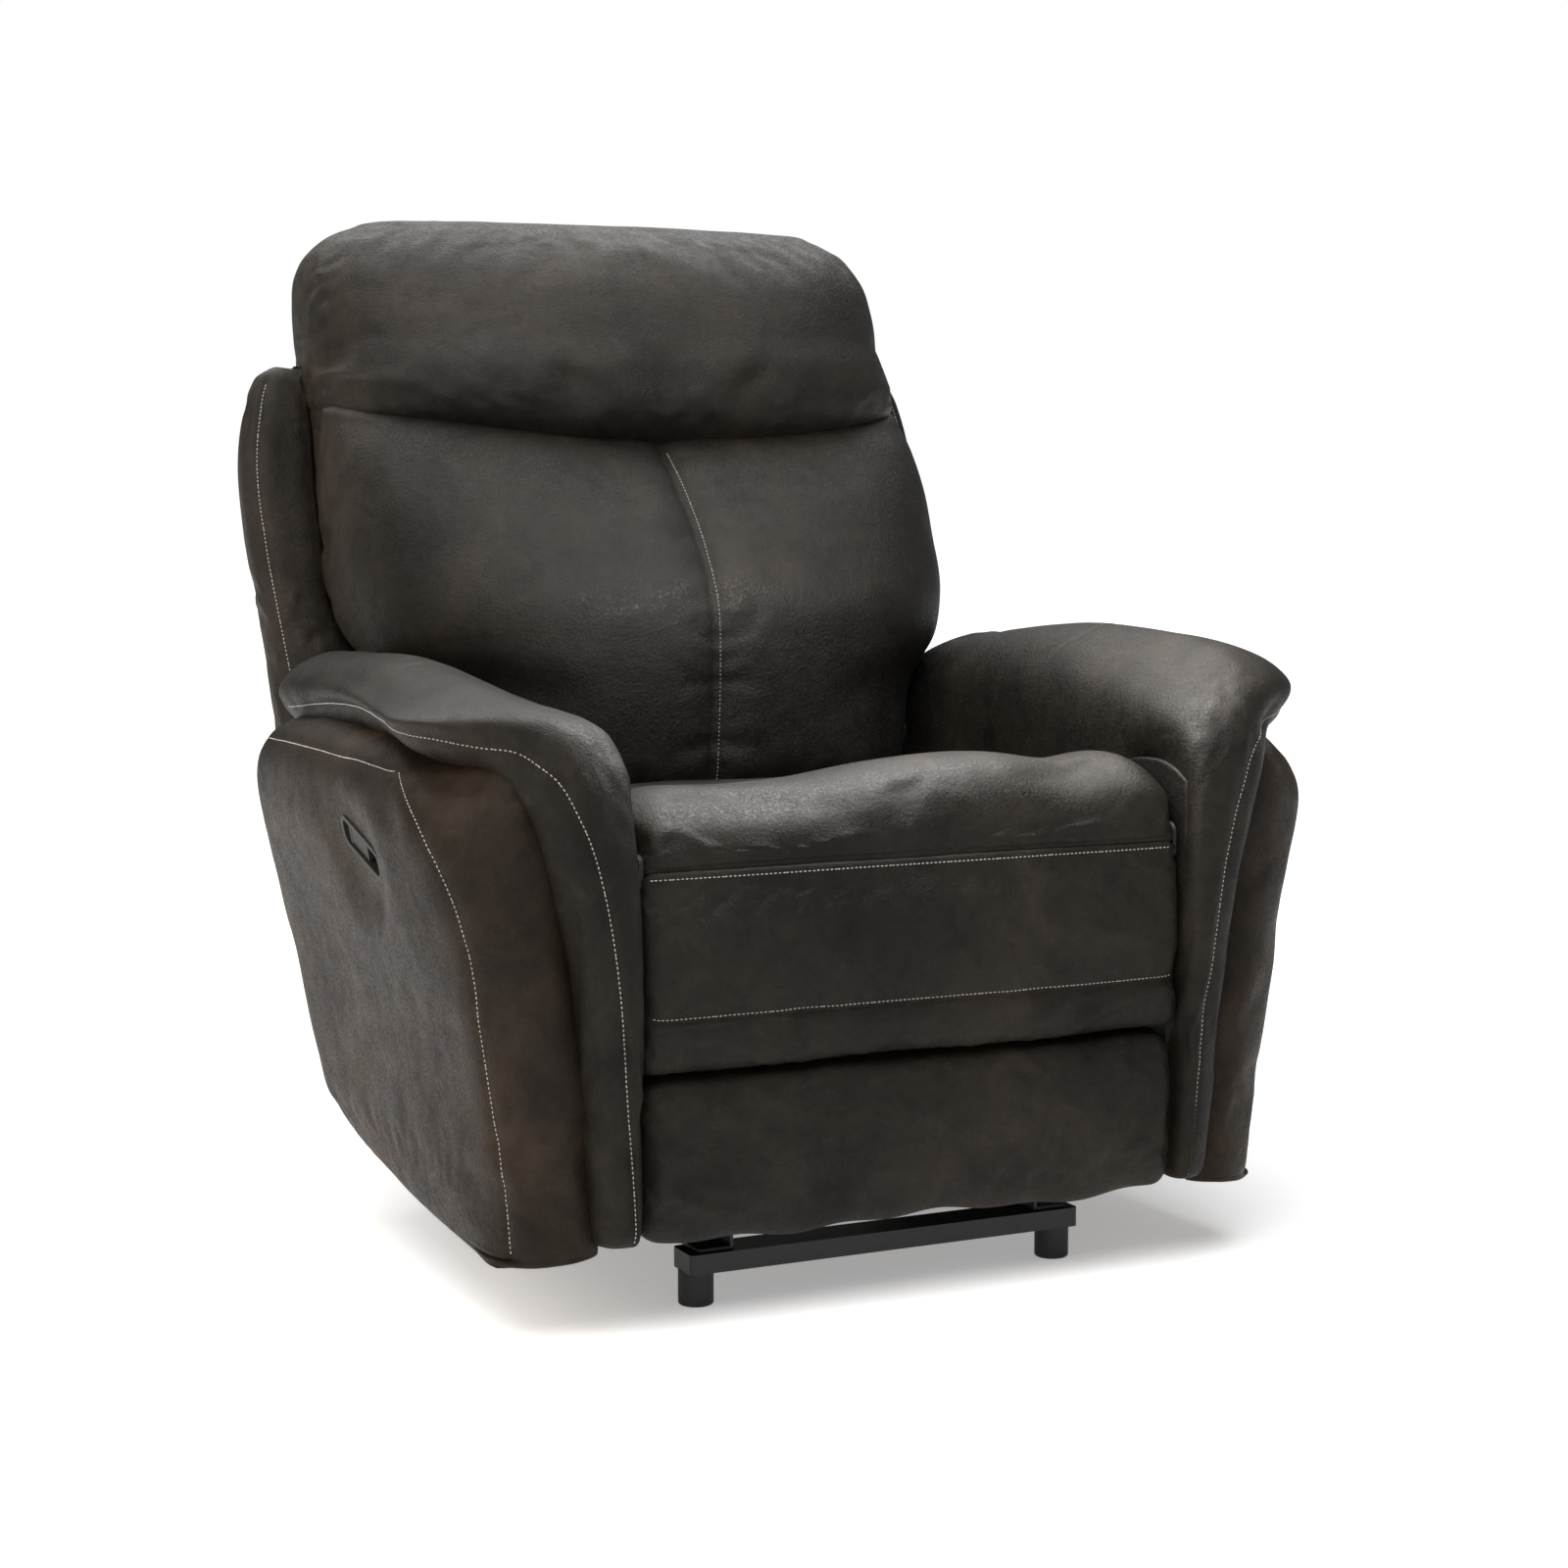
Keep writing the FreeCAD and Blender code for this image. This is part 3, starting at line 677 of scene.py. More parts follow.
def make_seat():
    profile = [(0.020, 0.392), (0.024, 0.430), (0.006, 0.456), (-0.06, 0.458), (-0.15, 0.466),
               (-0.24, 0.477), (-0.31, 0.490), (-0.362, 0.500), (-0.402, 0.496), (-0.428, 0.480),
               (-0.4385, 0.457), (-0.4395, 0.440), (-0.4392, 0.4325), (-0.436, 0.4288), (-0.426, 0.4277),
               (-0.40, 0.4277), (-0.366, 0.416), (-0.34, 0.394), (-0.24, 0.386), (-0.12, 0.384),
               (-0.02, 0.384)]
    lobes = spline([-0.29, -0.207, -0.106, -0.023, 0.05, 0.106, 0.175, 0.23, 0.29],
                   [-0.004, -0.010, -0.008, 0.003, 0.009, 0.008, -0.003, 0.004, -0.004])

    def crown(x, ring):
        ring = ring.copy()
        lift = np.clip((ring[:, 1] - 0.43) / 0.05, 0, 1)
        corner = 0.036 * np.clip((abs(x) - 0.225) / 0.06, 0, 1) ** 2.2
        front = np.clip((-0.10 - ring[:, 0]) / 0.15, 0, 1)
        ring[:, 1] += lift * (float(lobes(x)) * front - corner)
        return ring

    dense_front = lambda p: 1 + 1.5 * (p[:, 0] < -0.28) + 5.0 * ((p[:, 0] < -0.41) & (p[:, 1] < 0.45))
    seat = cross_loft("seat_cover", profile, CUSHION_HALF, 0.022, 56, 110, crown, dense_front)
    co = coordinates(seat)
    spread = 0.014 * fade(co[:, 2], 0.436, 0.475) * fade(np.abs(co[:, 0]), 0.15, CUSHION_HALF)
    co[:, 0] += np.sign(co[:, 0]) * spread
    set_coordinates(seat, co)
    sewn = lambda co: np.maximum(fade(co[:, 2], 0.450, 0.432), fade(co[:, 1], -0.06, -0.02))
    inflate(seat, sewn, 1.6, 0.006)
    subdivided(seat)
    rumple(seat, 0.16, 0.0030, 3)
    rumple(seat, 0.05, 0.0012, 5)
    cover(seat, "chassis", "seat_cushion", fill=0.7)
    # a small roll behind the seam fills the fold under the front of the seat
    fold = [(-0.4250, 0.4180), (-0.4340, 0.4215), (-0.4378, 0.4280), (-0.4350, 0.4345), (-0.4250, 0.4380),
            (-0.4150, 0.4345), (-0.4120, 0.4280), (-0.4150, 0.4215)]
    cover(cross_loft("seat_fold_cover", fold, 0.2840, 0.010, 30, 40), "chassis", fill=0.3)


def front_face(co):
    """Share of each point on the front face of the chaise panel or the footrest."""
    return np.clip((-0.41 - co[:, 1]) / 0.02, 0, 1)


def make_chaise():
    profile = [(-0.404, 0.4262), (-0.426, 0.4270), (-0.4365, 0.4262), (-0.4405, 0.4232), (-0.442, 0.413),
               (-0.4435, 0.39), (-0.445, 0.365), (-0.446, 0.335), (-0.443, 0.306), (-0.4405, 0.290),
               (-0.4435, 0.275), (-0.4435, 0.256), (-0.436, 0.2425), (-0.418, 0.2385), (-0.405, 0.243),
               (-0.4015, 0.27), (-0.4015, 0.34), (-0.4015, 0.40)]
    dense_front = lambda p: 1 + 2.0 * (p[:, 0] < -0.425) + 4.0 * ((p[:, 0] < -0.42) & (p[:, 1] > 0.41))
    chaise = cross_loft("chaise_cover", profile, CUSHION_HALF, 0.018, 60, 84, None, dense_front)
    sewn = lambda co: np.maximum(fade(co[:, 1], -0.436, -0.425), fade(co[:, 2], 0.395, 0.418))
    inflate(chaise, sewn, 1.4, 0.004)
    subdivided(chaise)
    rumple(chaise, 0.14, 0.0030, 11, (1, 1, 1), front_face)
    rumple(chaise, 0.035, 0.0009, 12, (0.5, 1, 1), front_face)
    upper = [(x, -0.436, SEAM_Z - 0.003) for x in np.linspace(-0.28, 0.28, 12)]
    lower = [(x, -0.4415, 0.2885) for x in np.linspace(-0.281, 0.281, 12)]
    seam(chaise, lower, 0.0030, 0.0035, 0.0014, 0.022)
    cover(chaise, None, "chaise_pad", fill=0.6)
    threads = [stitches("stitch_chaise_upper", chaise, [(p[0], p[1], p[2] - 0.0045) for p in upper]),
               stitches("stitch_chaise_lower", chaise, [(p[0], p[1], p[2] + 0.0045) for p in lower])]
    for piece in (chaise, *threads):
        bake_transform(piece)


def make_footrest():
    profile = [(-0.404, 0.2365), (-0.424, 0.2350), (-0.437, 0.226), (-0.4435, 0.205), (-0.445, 0.165),
               (-0.443, 0.120), (-0.439, 0.094), (-0.431, 0.0815), (-0.418, 0.0790), (-0.406, 0.0850),
               (-0.4015, 0.11), (-0.4015, 0.16), (-0.4015, 0.21)]

    def hem(x, ring):
        ring = ring.copy()
        low = np.clip((0.12 - ring[:, 1]) / 0.04, 0, 1)
        ring[:, 1] += low * (0.003 * math.sin(x * 23 + 1) + 0.002 * math.sin(x * 61))
        return ring

    pad = cross_loft("footrest_cover", profile, 0.2850, 0.022, 60, 72, hem)
    edges = lambda co: np.maximum(fade(co[:, 2], 0.215, 0.231), fade(co[:, 2], 0.115, 0.095))
    inflate(pad, lambda co: np.maximum(fade(co[:, 1], -0.434, -0.42), edges(co)), 1.4, 0.004)
    subdivided(pad)
    rumple(pad, 0.15, 0.0034, 21, (1, 1, 1), front_face)
    rumple(pad, 0.04, 0.0010, 22, (0.6, 1, 1), front_face)
    cover(pad, None, "footrest_pad", fill=0.6)
    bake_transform(pad)


# ---- arms ---------------------------------------------------------------------------------------
# The right pad's section: x, and depth under the crest, from the seat side over the top to the outer edge.
TOP_X = np.array([0.297, 0.291, 0.296, 0.315, 0.345, 0.385, 0.420,
                  0.441, 0.438, 0.424, 0.400, 0.362, 0.328, 0.308])
TOP_D = np.array([0.200, 0.110, 0.058, 0.028, 0.010, 0.000, 0.012,
                  0.036, 0.056, 0.074, 0.087, 0.092, 0.120, 0.180])
FRONT_X = np.array([0.300, 0.290, 0.2875, 0.289, 0.294])
FRONT_D = np.array([0.060, 0.045, 0.028, 0.013, 0.004, 0.0005, 0.0,
                    0.0006, 0.003, 0.012, 0.034, 0.050, 0.058, 0.062])


def front_ring(stitch_x, groove_x):
    """X of one row of the arm's front roll, from the seat side round the front to the groove."""
    crest = FRONT_X[4]
    outer = [crest + (stitch_x - crest) * k for k in (0.35, 0.62, 0.85, 1.0)]
    flange = [stitch_x + (groove_x - stitch_x) * k for k in (0.62, 1.0, 0.75, 0.45)]
    return np.concatenate([FRONT_X, outer, flange, [0.306]])


# y, z and facing angle of the pad's crest, share of the front shape, stitch x, groove x, outer edge x
ARM_ROWS = [
    (0.190, 0.572, -50, 0.00, 0.34, 0.40, 0.441), (0.172, 0.590, -18, 0.00, 0.34, 0.40, 0.441),
    (0.100, 0.601, -4, 0.00, 0.34, 0.40, 0.441), (0.000, 0.609, -3, 0.00, 0.34, 0.40, 0.444),
    (-0.150, 0.616, 0, 0.00, 0.34, 0.40, 0.450), (-0.270, 0.613, 5, 0.00, 0.34, 0.40, 0.460),
    (-0.345, 0.602, 14, 0.05, 0.34, 0.40, 0.470), (-0.402, 0.580, 34, 0.28, 0.34, 0.40, 0.470),
    (-0.438, 0.549, 58, 0.62, 0.336, 0.386, 0.440), (-0.453, 0.505, 76, 0.90, 0.331, 0.372, 0.440),
    (-0.458, 0.435, 86, 1.00, 0.3215, 0.360, 0.440), (-0.458, 0.335, 90, 1.00, 0.3140, 0.350, 0.440),
    (-0.457, 0.225, 90, 1.00, 0.3070, 0.342, 0.440), (-0.455, 0.135, 90, 1.00, 0.3000, 0.334, 0.440),
    (-0.452, 0.097, 90, 1.00, 0.2975, 0.332, 0.440), (-0.446, 0.086, 90, 1.00, 0.2985, 0.328, 0.440),
]
STITCH_INDEX = 8                                 # point of the section that the stitching follows
CREST_X = TOP_X[TOP_D.argmin()]


def arm_rows():
    rows = []
    for number, (y, z, angle, share, stitch_x, groove_x, edge_x) in enumerate(ARM_ROWS):
        reach = (edge_x - CREST_X) / (TOP_X.max() - CREST_X)
        top_x = np.where(TOP_X > CREST_X, CREST_X + (TOP_X - CREST_X) * reach, TOP_X)
        x = top_x * (1 - share) + front_ring(stitch_x, groove_x) * share
        depth = TOP_D * (1 - share) + FRONT_D * share
        if number < 2:
            squeeze = (0.60, 0.88)[number]
            x = 0.366 + (x - 0.366) * (0.90, 0.97)[number]
            depth = depth * squeeze
        facing = np.array([0, -math.sin(math.radians(angle)), math.cos(math.radians(angle))])
        place = np.column_stack([x, np.full(len(x), y), np.full(len(x), z)])
        rows.append(place - depth[:, None] * facing)
    return np.array(rows)


def leaned(points):
    """Points of the right arm's pad with its front roll leaning outwards above the seat."""
    points = np.array(points, float)
    outer = 0.25 + 0.75 * fade(points[..., 0], 0.292, 0.330)
    points[..., 0] += 0.018 * outer * fade(points[..., 2], 0.30, 0.50) * fade(points[..., 1], -0.02, -0.40)
    return points


def make_arm_pad():
    rows = leaned(arm_rows())
    rings = np.array([catmull(row, 76, True) for row in rows])
    grid = np.stack([catmull(rings[:, k], 106, False) for k in range(rings.shape[1])], axis=1)
    pad = grid_mesh("arm_pad_cover_right", grid)
    inflate(pad, lambda co: np.maximum(fade(co[:, 1], 0.12, 0.16), fade(co[:, 2], 0.22, 0.12)), 1.6, 0.005)
    subdivided(pad)
    rear_soft = lambda co: np.clip((co[:, 2] - 0.1) / 0.1, 0, 1)
    rumple(pad, 0.15, 0.0045, 31, (1, 1, 1), rear_soft)
    rumple(pad, 0.045, 0.0010, 32)
    cross = [(0.425, -0.138, 0.604), (0.400, -0.149, 0.620), (0.350, -0.157, 0.612), (0.315, -0.152, 0.588),
             (0.296, -0.147, 0.555), (0.290, -0.141, 0.500)]
    seam(pad, cross, 0.0038, 0.0028)
    line = catmull(rows[:, STITCH_INDEX], 120, False)[4:]
    seam(pad, line, 0.0016, 0.0035, 0.0012, 0.018)
    bend = [(0.36, -0.40, 0.565), (0.325, -0.43, 0.53), (0.31, -0.44, 0.49)]
    gathers(pad, bend, 0.035, 0.0022, 0.012, 4, (0.3, -0.3, 0.9))
    return pad, line


ARM_UNDERSIDE = [(0.1455, 0.545), (0.1455, 0.44), (0.1455, 0.332), (0.138, 0.262), (0.122, 0.198),
                 (0.096, 0.154), (0.027, 0.125), (-0.083, 0.107), (-0.200, 0.092)]


def make_arm_inner():
    """Inner face of the arm beside the seat, its lower edge sweeping up to the rear."""
    low = [(y, z) for y, z in reversed(ARM_UNDERSIDE[2:])]
    outline = [(-0.440, 0.470), (-0.442, 0.30), (-0.441, 0.112), (-0.434, 0.096), (-0.40, 0.088),
               (-0.32, 0.086)] + low
    outline += [(0.146, 0.42), (0.143, 0.468), (0.05, 0.472), (-0.20, 0.472), (-0.29, 0.476), (-0.335, 0.496),
                (-0.39, 0.500), (-0.43, 0.488)]
    ring = catmull(outline, 150, True)
    grid = []
    for x, shrink in ((0.2925, 0.0035), (0.2928, 0.0012), (0.294, 0.0), (0.298, 0.0), (0.302, 0.001)):
        section = inset_ring(ring, shrink)
        grid.append(np.column_stack([np.full(150, x), section]))
    return grid_mesh("arm_inner_cover_right", grid)


def make_arm_rear():
    """Leather over the rear and the rising underside of the arm."""
    path = catmull(ARM_UNDERSIDE, 90, False)
    along = np.gradient(path, axis=0)
    along /= np.linalg.norm(along, axis=1, keepdims=True)
    facing = np.stack([-along[:, 1], along[:, 0]], axis=1)
    grid = []
    for number, (y, z) in enumerate(path):
        edge = min(1.0, 0.5 + number * 0.15, 0.5 + (89 - number) * 0.15)
        ring = ring_of(0.050, -0.0065 * edge, 0.0065 * edge, 60, 6.0, 0.3515)
        across, up = facing[number]
        grid.append(np.column_stack([ring[:, 0], y + ring[:, 1] * across, z + ring[:, 1] * up]))
    return grid_mesh("arm_rear_cover_right", grid)


# The right outer panel by height: its outermost x, its rear y, its front stitching and its groove.
PANEL_OUT = spline([0.070, 0.114, 0.216, 0.286, 0.366, 0.436, 0.476, 0.501, 0.520, 0.534, 0.540],
                   [0.408, 0.417, 0.424, 0.433, 0.453, 0.473, 0.479, 0.474, 0.462, 0.440, 0.425])
PANEL_REAR = spline([0.070, 0.079, 0.095, 0.113, 0.143, 0.188,
                     0.260, 0.332, 0.397, 0.470, 0.510, 0.540],
                    [-0.350, -0.200, -0.083, 0.027, 0.103, 0.128,
                     0.142, 0.150, 0.147, 0.138, 0.132, 0.110])
STITCH_LEVELS = [0.070, 0.152, 0.220, 0.300, 0.360, 0.400, 0.440, 0.470, 0.492, 0.512, 0.540]
PANEL_STITCH_X = spline(STITCH_LEVELS, [0.396, 0.405, 0.4135, 0.424, 0.433, 0.444,
                                        0.458, 0.468, 0.469, 0.463, 0.420])
PANEL_STITCH_Y = spline(STITCH_LEVELS, [-0.399, -0.400, -0.400, -0.400, -0.399, -0.396,
                                        -0.387, -0.370, -0.342, -0.302, -0.275])
PANEL_GROOVE_X = spline([0.070, 0.170, 0.280, 0.390, 0.475, 0.510, 0.540],
                        [0.331, 0.337, 0.347, 0.357, 0.370, 0.378, 0.384])
PANEL_GROOVE_Y = spline([0.070, 0.390, 0.475, 0.510, 0.540], [-0.428, -0.430, -0.424, -0.414, -0.402])


def panel_ring(z):
    out = float(PANEL_OUT(z))
    rear = float(PANEL_REAR(z))
    sx = float(PANEL_STITCH_X(z))
    sy = float(PANEL_STITCH_Y(z))
    gx = float(PANEL_GROOVE_X(z))
    gy = float(PANEL_GROOVE_Y(z))
    inner = min(0.399, out - 0.02)
    rear = max(rear, sy + 0.045)
    span = rear - sy
    return [(inner, rear - 0.10 * span), (inner + 0.004, rear - 0.006), (out - 0.012, rear - 0.001),
            (out - 0.001, rear - 0.06 * span), (out + 0.003, rear - 0.35 * span),
            (out + 0.003, rear - 0.62 * span), (out + 0.001, sy + 0.14 * span), (sx + 0.002, sy),
            (sx + (gx - sx) * 0.30, sy + (gy - sy) * 0.55 - 0.004),
            (sx + (gx - sx) * 0.68, sy + (gy - sy) * 0.92 - 0.004), (gx + 0.006, gy),
            (gx - 0.010, gy + 0.012), (gx - 0.008, gy + 0.026), (inner - 0.004, gy + 0.034),
            (inner, gy + 0.060), (inner, sy + 0.30 * span)]


def make_outer_panel(name):
    heights = [0.068, 0.072, 0.078, 0.086, 0.095, 0.105, 0.114, 0.13, 0.15, 0.19, 0.24, 0.29, 0.34, 0.39,
               0.43, 0.46, 0.485, 0.502, 0.516, 0.527, 0.535, 0.539]
    rings = []
    for z in heights:
        ring = np.array(panel_ring(z))
        ring = catmull(ring, PANEL_POINTS, True)
        rise = 0.007 * np.clip((0.41 - ring[:, 0]) / 0.07, 0, 1) * np.clip((0.10 - z) / 0.03, 0, 1)
        rings.append(np.column_stack([ring, z + rise]))
    rings = np.array(rings)
    grid = np.stack([catmull(rings[:, k], 66, False) for k in range(PANEL_POINTS)], axis=1)
    panel = grid_mesh(name, grid)
    inner_side = lambda co: ((co[:, 0] < 0.40) & (co[:, 1] > -0.40)) * 1.0
    inflate(panel, lambda co: np.maximum(inner_side(co), fade(co[:, 2], 0.16, 0.10)), 1.2, 0.004)
    subdivided(panel)
    above_hem = lambda co: fade(co[:, 2], 0.078, 0.140)
    rumple(panel, 0.17, 0.0045, 41, (1, 1, 1), above_hem)
    rumple(panel, 0.05, 0.0009, 42, (1, 1, 1), above_hem)
    edge = [(float(PANEL_STITCH_X(z)) + 0.002, float(PANEL_STITCH_Y(z)), z)
            for z in np.linspace(0.513, 0.076, 26)]
    ledge = [(float(PANEL_OUT(0.512)), y, 0.513) for y in np.linspace(0.118, -0.285, 11)] + edge[:1]
    seam(panel, ledge + edge[1:], 0.0016, 0.004, 0.0010, 0.02)
    return panel, ledge, edge


def dish_for_latch(panel):
    """Brings the left panel's surface to the mouth of the latch and opens it there."""
    low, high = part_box("latch_bezel")
    centre = (low + high) / 2
    bezel = coordinates(frame["nodes"]["latch_bezel"])
    out = np.array([-math.cos(LATCH_TILT), 0, -math.sin(LATCH_TILT)])
    mouth = (bezel @ out).max() - 0.0022
    co = coordinates(panel)
    offset = co @ out - mouth
    apart = co - np.array(centre)
    spread = np.linalg.norm(apart - np.outer(apart @ out, out), axis=1)
    outer_side = (normals(panel) @ out) > 0.2
    weight = np.exp(-(spread / 0.070) ** 4) * outer_side
    set_coordinates(panel, co - out * (offset * weight)[:, None])

    hull = bpy.data.meshes.new("latch_cutter")
    along = np.array([0, -math.cos(LATCH_SLOPE), -math.sin(LATCH_SLOPE)])
    along = along - out * (along @ out)
    along /= np.linalg.norm(along)
    across = np.cross(out, along)
    middle = np.array(centre) + out * (mouth - np.array(centre) @ out)
    verts = []
    count = 40
    for level in (-0.030, 0.012):
        for k in range(count):
            a = 2 * math.pi * k / count
            u = LATCH_MOUTH[0] * math.copysign(abs(math.cos(a)) ** 0.72, math.cos(a))
            v = LATCH_MOUTH[1] * math.copysign(abs(math.sin(a)) ** 0.55, math.sin(a))
            verts.append(tuple(middle + along * u + across * v + out * level))
    faces = [tuple(range(count)), tuple(range(2 * count - 1, count - 1, -1))]
    faces += [(k + count, (k + 1) % count + count, (k + 1) % count, k) for k in range(count)]
    hull.from_pydata(verts, [], faces)
    cutter = bpy.data.objects.new("latch_cutter", hull)
    bpy.context.scene.collection.objects.link(cutter)
    outward(cutter)
    cut = panel.modifiers.new("cut", "BOOLEAN")
    cut.operation = "DIFFERENCE"
    cut.solver = "EXACT"
    cut.object = cutter
    apply_modifiers(panel)
    bpy.data.objects.remove(cutter)


def slump(pad):
    """Lets the crown of a pad settle, most of all behind its front bend."""
    co = coordinates(pad)
    drop = spline([-0.46, -0.42, -0.36, -0.28, -0.18, -0.05, 0.08, 0.19],
                  [0.004, 0.016, 0.025, 0.027, 0.023, 0.013, 0.004, 0.0])
    co[:, 2] -= drop(co[:, 1]) * fade(co[:, 2], 0.550, 0.610)
    set_coordinates(pad, co)


def make_arms():
    pad, pad_line = make_arm_pad()
    inner = make_arm_inner()
    rear = make_arm_rear()
    panel, ledge, edge = make_outer_panel("arm_panel_cover_right")
    left_panel = mirrored(panel, "arm_panel_cover_left")
    dish_for_latch(left_panel)
    rights = {"pad": pad, "inner": inner, "rear": rear}
    lefts = {key: mirrored(obj, obj.name.replace("right", "left")) for key, obj in rights.items()}
    slump(lefts["pad"])
    for side, pieces in (("right", rights), ("left", lefts)):
        cover(pieces["pad"], "chassis", "arm_pad_" + side, fill=0.8)
        cover(pieces["inner"], "chassis", "arm_inner_skin_" + side, fill=0.3)
        cover(pieces["rear"], "chassis", fill=0.2)
    cover(panel, "chassis", "arm_outer_panel_right", fill=0.5, material="side_leather")
    cover(left_panel, "chassis", "arm_outer_panel_left", fill=0.5, material="side_leather")
    lines = [("stitch_pad_right", pad, pad_line), ("stitch_pad_left", lefts["pad"], flip(pad_line)),
             ("stitch_ledge_right", panel, ledge), ("stitch_ledge_left", left_panel, flip(ledge)),
             ("stitch_panel_right", panel, edge), ("stitch_panel_left", left_panel, flip(edge))]
    for name, piece, line in lines:
        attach(stitches(name, piece, line), "chassis")


# ---- back -----------------------------------------------------------------------------------------
def crease_z(x):
    """Height of the fold between the lumbar cushion and the head cushion."""
    return 0.806 + 0.040 * np.clip(np.abs(x) / BACK_HALF, 0, 1.05) ** 1.6


def back_ring(half, front, side, rear, count=116):
    """Plan outline of a back cushion: crowned front, sides full width from y = side, square rear."""
    run = side - front
    right = [(0.0, front), (0.40 * half, front + 0.03 * run), (0.68 * half, front + 0.16 * run),
             (0.87 * half, front + 0.42 * run), (0.965 * half, front + 0.72 * run), (half, side + 0.012),
             (0.997 * half, rear - 0.025), (0.955 * half, rear - 0.004), (0.80 * half, rear),
             (0.40 * half, rear)]
    left = [(-x, y) for x, y in reversed(right[1:])]
    return catmull(right + [(0.0, rear)] + left, count, True)


def make_lumbar():
    z = [0.405, 0.42, 0.448, 0.50, 0.555, 0.60, 0.64, 0.70, 0.76, 0.80, 0.825, 0.835]
    half = spline(z, [0.268, 0.275, 0.281, 0.285, 0.294, 0.330, 0.344, 0.346, 0.345, 0.343, 0.341, 0.332])
    front = spline(z, [0.075, 0.052, 0.036, 0.028, 0.024, 0.023, 0.026, 0.056, 0.106, 0.150, 0.188, 0.216])
    side = spline(z, [0.14, 0.14, 0.145, 0.15, 0.16, 0.17, 0.183, 0.205, 0.232, 0.262, 0.285, 0.30])
    rear = spline(z, [0.24, 0.25, 0.262, 0.275, 0.288, 0.300, 0.318, 0.340, 0.362, 0.378, 0.386, 0.388])
    grid = []
    for level in np.concatenate([np.linspace(0.405, 0.79, 56), np.linspace(0.796, 0.835, 10)]):
        ring = back_ring(float(half(level)), float(front(level)), float(side(level)), float(rear(level)))
        rise = np.clip((level - 0.60) / 0.2, 0, 1)
        height = level + rise * (crease_z(ring[:, 0]) - 0.812)
        grid.append(np.column_stack([ring, height]))
    lumbar = grid_mesh("lumbar_cover", grid)
    sewn = lambda co: ((co[:, 1] > 0.33) | (co[:, 2] < 0.43) | (np.abs(co[:, 0]) < 0.004)).astype(float)
    inflate(lumbar, sewn, 1.8, 0.010)
    subdivided(lumbar)
    face = lambda co: np.clip((0.30 - co[:, 1]) / 0.1, 0, 1)
    rumple(lumbar, 0.20, 0.0050, 51, (1, 1, 1), face)
    rumple(lumbar, 0.06, 0.0012, 52, (1, 1, 1), face)
    line = [(0.0, float(front(level)) - 0.001, level + float(np.clip((level - 0.60) / 0.2, 0, 1)) * -0.006)
            for level in np.linspace(0.445, 0.815, 26)]
    seam(lumbar, line, 0.0045, 0.0045, 0.0035, 0.035)
    cover(lumbar, "back", "lumbar_cushion", fill=0.75)
    beside = [(p[0] + 0.0050, p[1], p[2]) for p in line]
    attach(stitches("stitch_lumbar", lumbar, beside), "back")


def make_head():
    z = [0.796, 0.806, 0.822, 0.850, 0.890, 0.930, 0.970, 1.005, 1.030, 1.047, 1.058, 1.064, TOP_Z]
    half = spline(z, [0.325, 0.337, 0.344, 0.346, 0.346, 0.346, 0.345,
                      0.340, 0.326, 0.305, 0.278, 0.248, 0.20])
    front = spline(z, [0.216, 0.186, 0.164, 0.149, 0.158, 0.180, 0.203,
                       0.227, 0.250, 0.272, 0.294, 0.314, 0.335])
    side = spline(z, [0.29, 0.285, 0.290, 0.306, 0.332, 0.346, 0.358,
                      0.368, 0.372, 0.372, 0.370, 0.366, 0.362])
    rear = spline(z, [0.388, 0.392, 0.398, 0.410, 0.424, 0.436, 0.444,
                      0.447, 0.444, 0.432, 0.414, 0.396, 0.375])
    grid = []
    levels = np.concatenate([np.linspace(0.796, 0.83, 10), np.linspace(0.838, 1.03, 32),
                             np.linspace(1.036, 1.060, 8), [1.0625, 1.0645, TOP_Z]])
    for level in levels:
        ring = back_ring(float(half(level)), float(front(level)), float(side(level)), float(rear(level)))
        drop = np.clip((0.93 - level) / 0.12, 0, 1)
        height = level + drop * (crease_z(ring[:, 0]) - 0.806)
        grid.append(np.column_stack([ring, height]))
    head = grid_mesh("head_cover", grid)
    sewn = lambda co: np.maximum(fade(co[:, 2] - crease_z(co[:, 0]), 0.050, 0.008),
                                 np.maximum(fade(co[:, 1], 0.38, 0.40), fade(co[:, 2], 1.035, 1.055)))
    inflate(head, sewn, 1.5, 0.006)
    subdivided(head)
    face = lambda co: np.clip((0.36 - co[:, 1]) / 0.1, 0, 1)
    rumple(head, 0.24, 0.0050, 61, (1, 1, 1), face)
    rumple(head, 0.06, 0.0009, 62)
    edge = [(-0.340, 0.30 + 0.3 * (level - 0.86), level) for level in np.linspace(0.84, 1.0, 8)]
    gathers(head, edge, 0.030, 0.0035, 0.014, 7, (1, 0, 0))
    cover(head, "back", "head_cushion", fill=0.85)


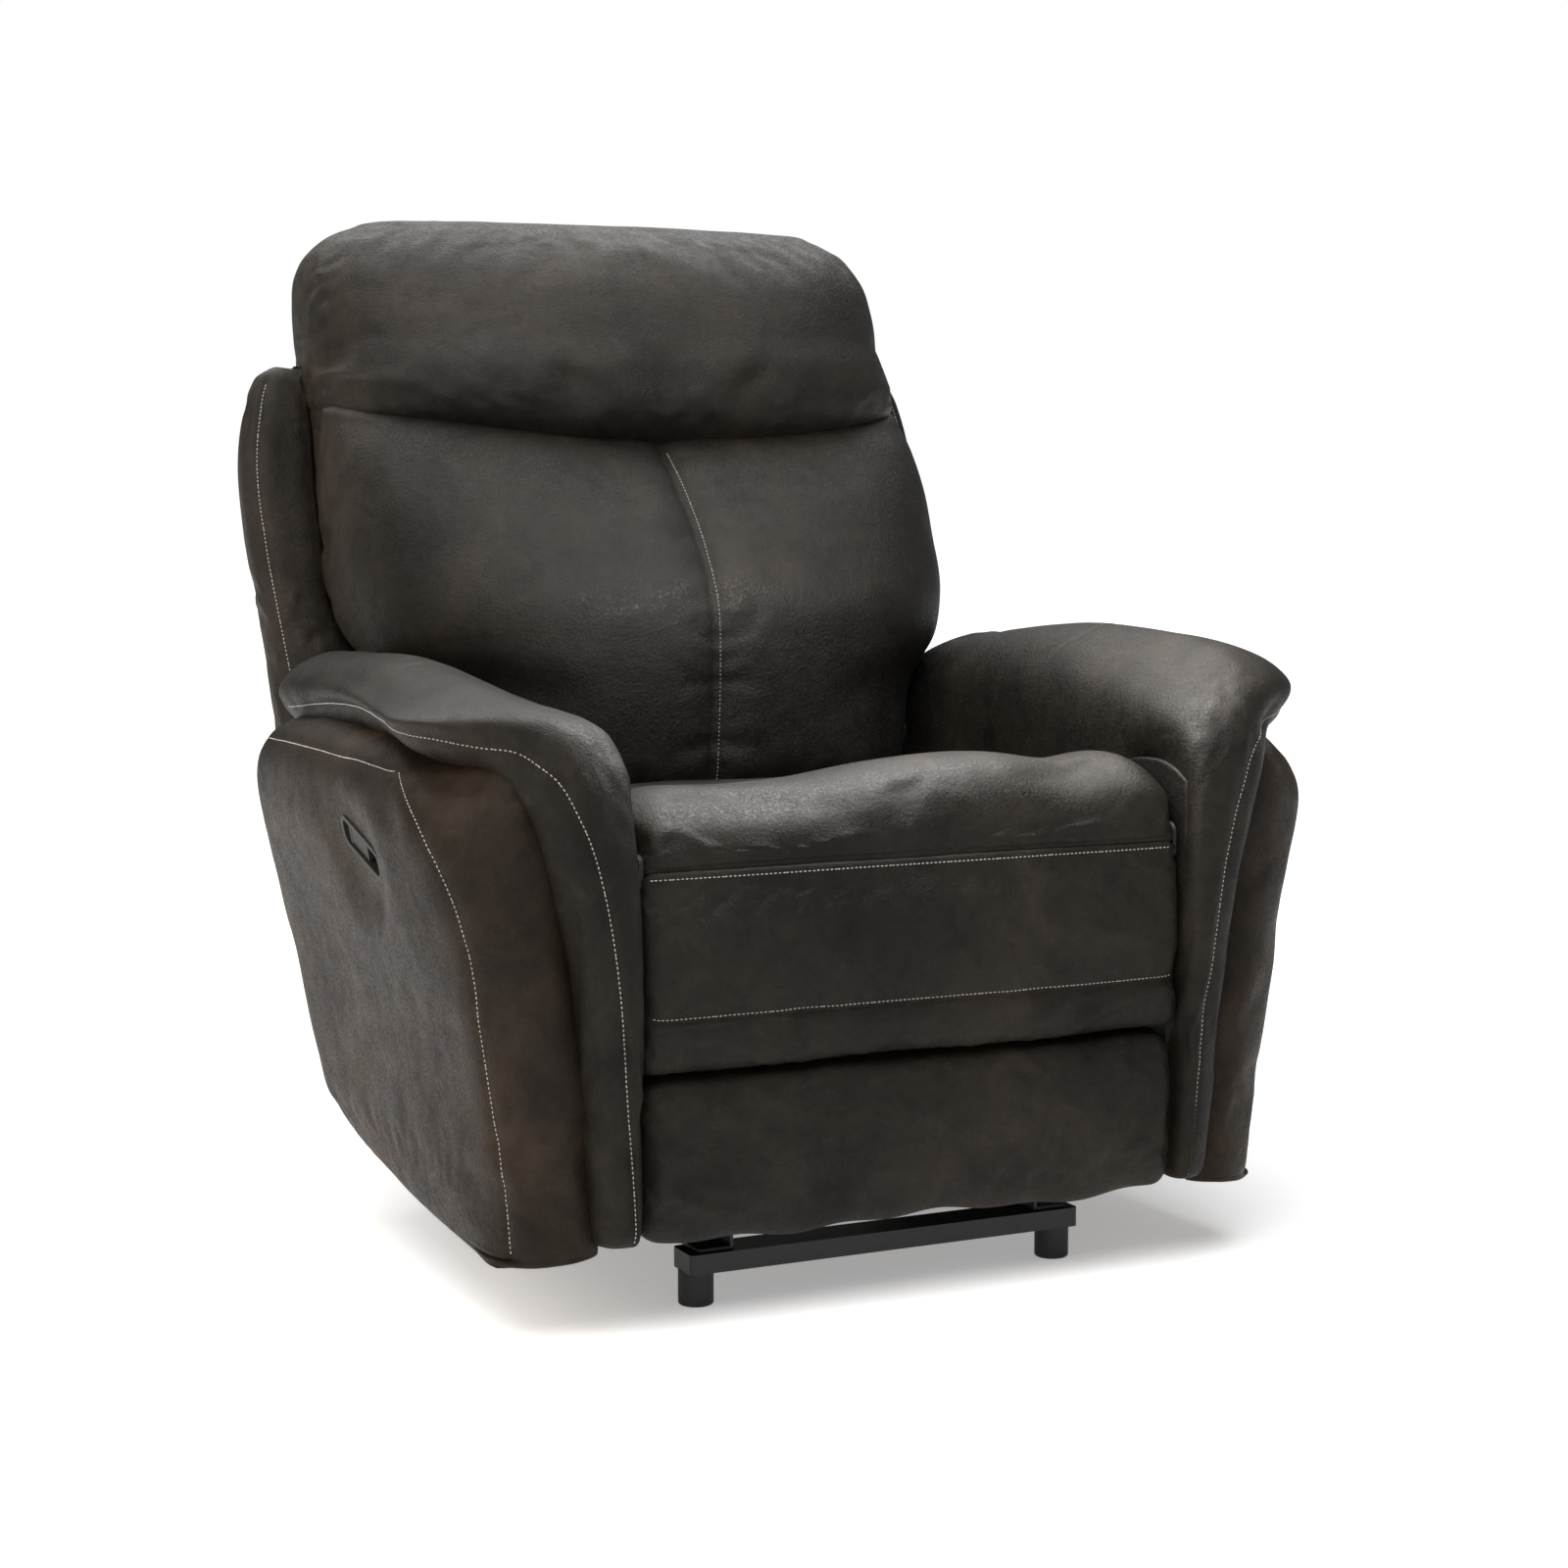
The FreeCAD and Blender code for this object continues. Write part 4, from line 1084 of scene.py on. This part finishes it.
def make_wing():
    z = [0.426, 0.440, 0.520, 0.585, 0.650, 0.720, 0.800, 0.850, 0.878, 0.893, 0.902]
    out = spline(z, [0.378, 0.388, 0.402, 0.408, 0.413, 0.418, 0.418, 0.410, 0.402, 0.392, 0.376])
    front = spline(z, [0.246, 0.238, 0.258, 0.280, 0.302, 0.324, 0.345, 0.356, 0.364, 0.371, 0.382])
    rear = spline(z, [0.306, 0.318, 0.336, 0.350, 0.366, 0.382, 0.399, 0.404, 0.404, 0.400, 0.394])
    grid = []
    for level in np.linspace(0.426, 0.902, 76):
        inner = 0.300 + 0.035 * float(np.clip((level - 0.58) / 0.06, 0, 1))
        half = (float(out(level)) - inner) / 2
        ring = ring_of(half, float(front(level)), float(rear(level)), 64, 3.0, inner + half)
        grid.append(np.column_stack([ring, np.full(64, level)]))
    wing = grid_mesh("wing_cover_right", grid)
    inflate(wing, lambda co: (co[:, 0] < 0.345).astype(float), 1.6, 0.004)
    subdivided(wing)
    rumple(wing, 0.14, 0.0025, 71)
    line = [(float(out(level)) - 0.011, float(front(level)) + 0.004, level)
            for level in np.linspace(0.545, 0.886, 20)]
    seam(wing, line, 0.0018, 0.0035, 0.0012, 0.012)
    other = mirrored(wing, "wing_cover_left")
    sides = (("right", wing, line), ("left", other, flip(line)))
    for side, piece, path in sides:
        cover(piece, "back", "back_wing_" + side, fill=0.6)
        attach(stitches("stitch_wing_" + side, piece, path), "back")


BACK_LEAN = 0.231                                # y gained per height up the rear of the back


def make_rear_cover():
    """Padded leather panel over the rear of the back frame."""
    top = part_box("back_rear_cover")[1]
    grid = []
    for level in np.linspace(0.25, 0.985, 80):
        edge = min(1.0, 0.4 + (level - 0.25) / 0.02, 0.4 + (0.985 - level) / 0.02)
        half = 0.340 if level < 0.90 else 0.340 - 0.05 * ((level - 0.90) / 0.085) ** 2
        rear = top.y + (level - top.z) * BACK_LEAN + 0.001
        ring = ring_of(half, rear - 0.020, rear, 140, 7.0)
        middle = rear - 0.010
        ring[:, 1] = middle + (ring[:, 1] - middle) * edge
        grid.append(np.column_stack([ring, np.full(140, level)]))
    panel = grid_mesh("back_cover", grid)
    rumple(panel, 0.25, 0.0025, 81)
    for side in (-1, 1):
        line = [(side * 0.300, top.y + (level - top.z) * BACK_LEAN, level)
                for level in np.linspace(0.27, 0.98, 20)]
        seam(panel, line, 0.0025, 0.0035, 0.001, 0.02)
    cover(panel, "back", "back_rear_cover", fill=0.2)


# ---- put it together ---------------------------------------------------------------------------
def finish_frame():
    """Materials for the CAD nodes that stay in sight."""
    slots = {part["node"]: part["material_slot"] for part in frame["record"]["subparts"]}
    for name, node in frame["nodes"].items():
        material = MATERIALS[slots[name]]
        node.data.materials.clear()
        node.data.materials.append(material)


make_camera()
make_stage()
finish_frame()
make_seat()
make_chaise()
make_footrest()
make_arms()
make_lumbar()
make_head()
make_wing()
make_rear_cover()
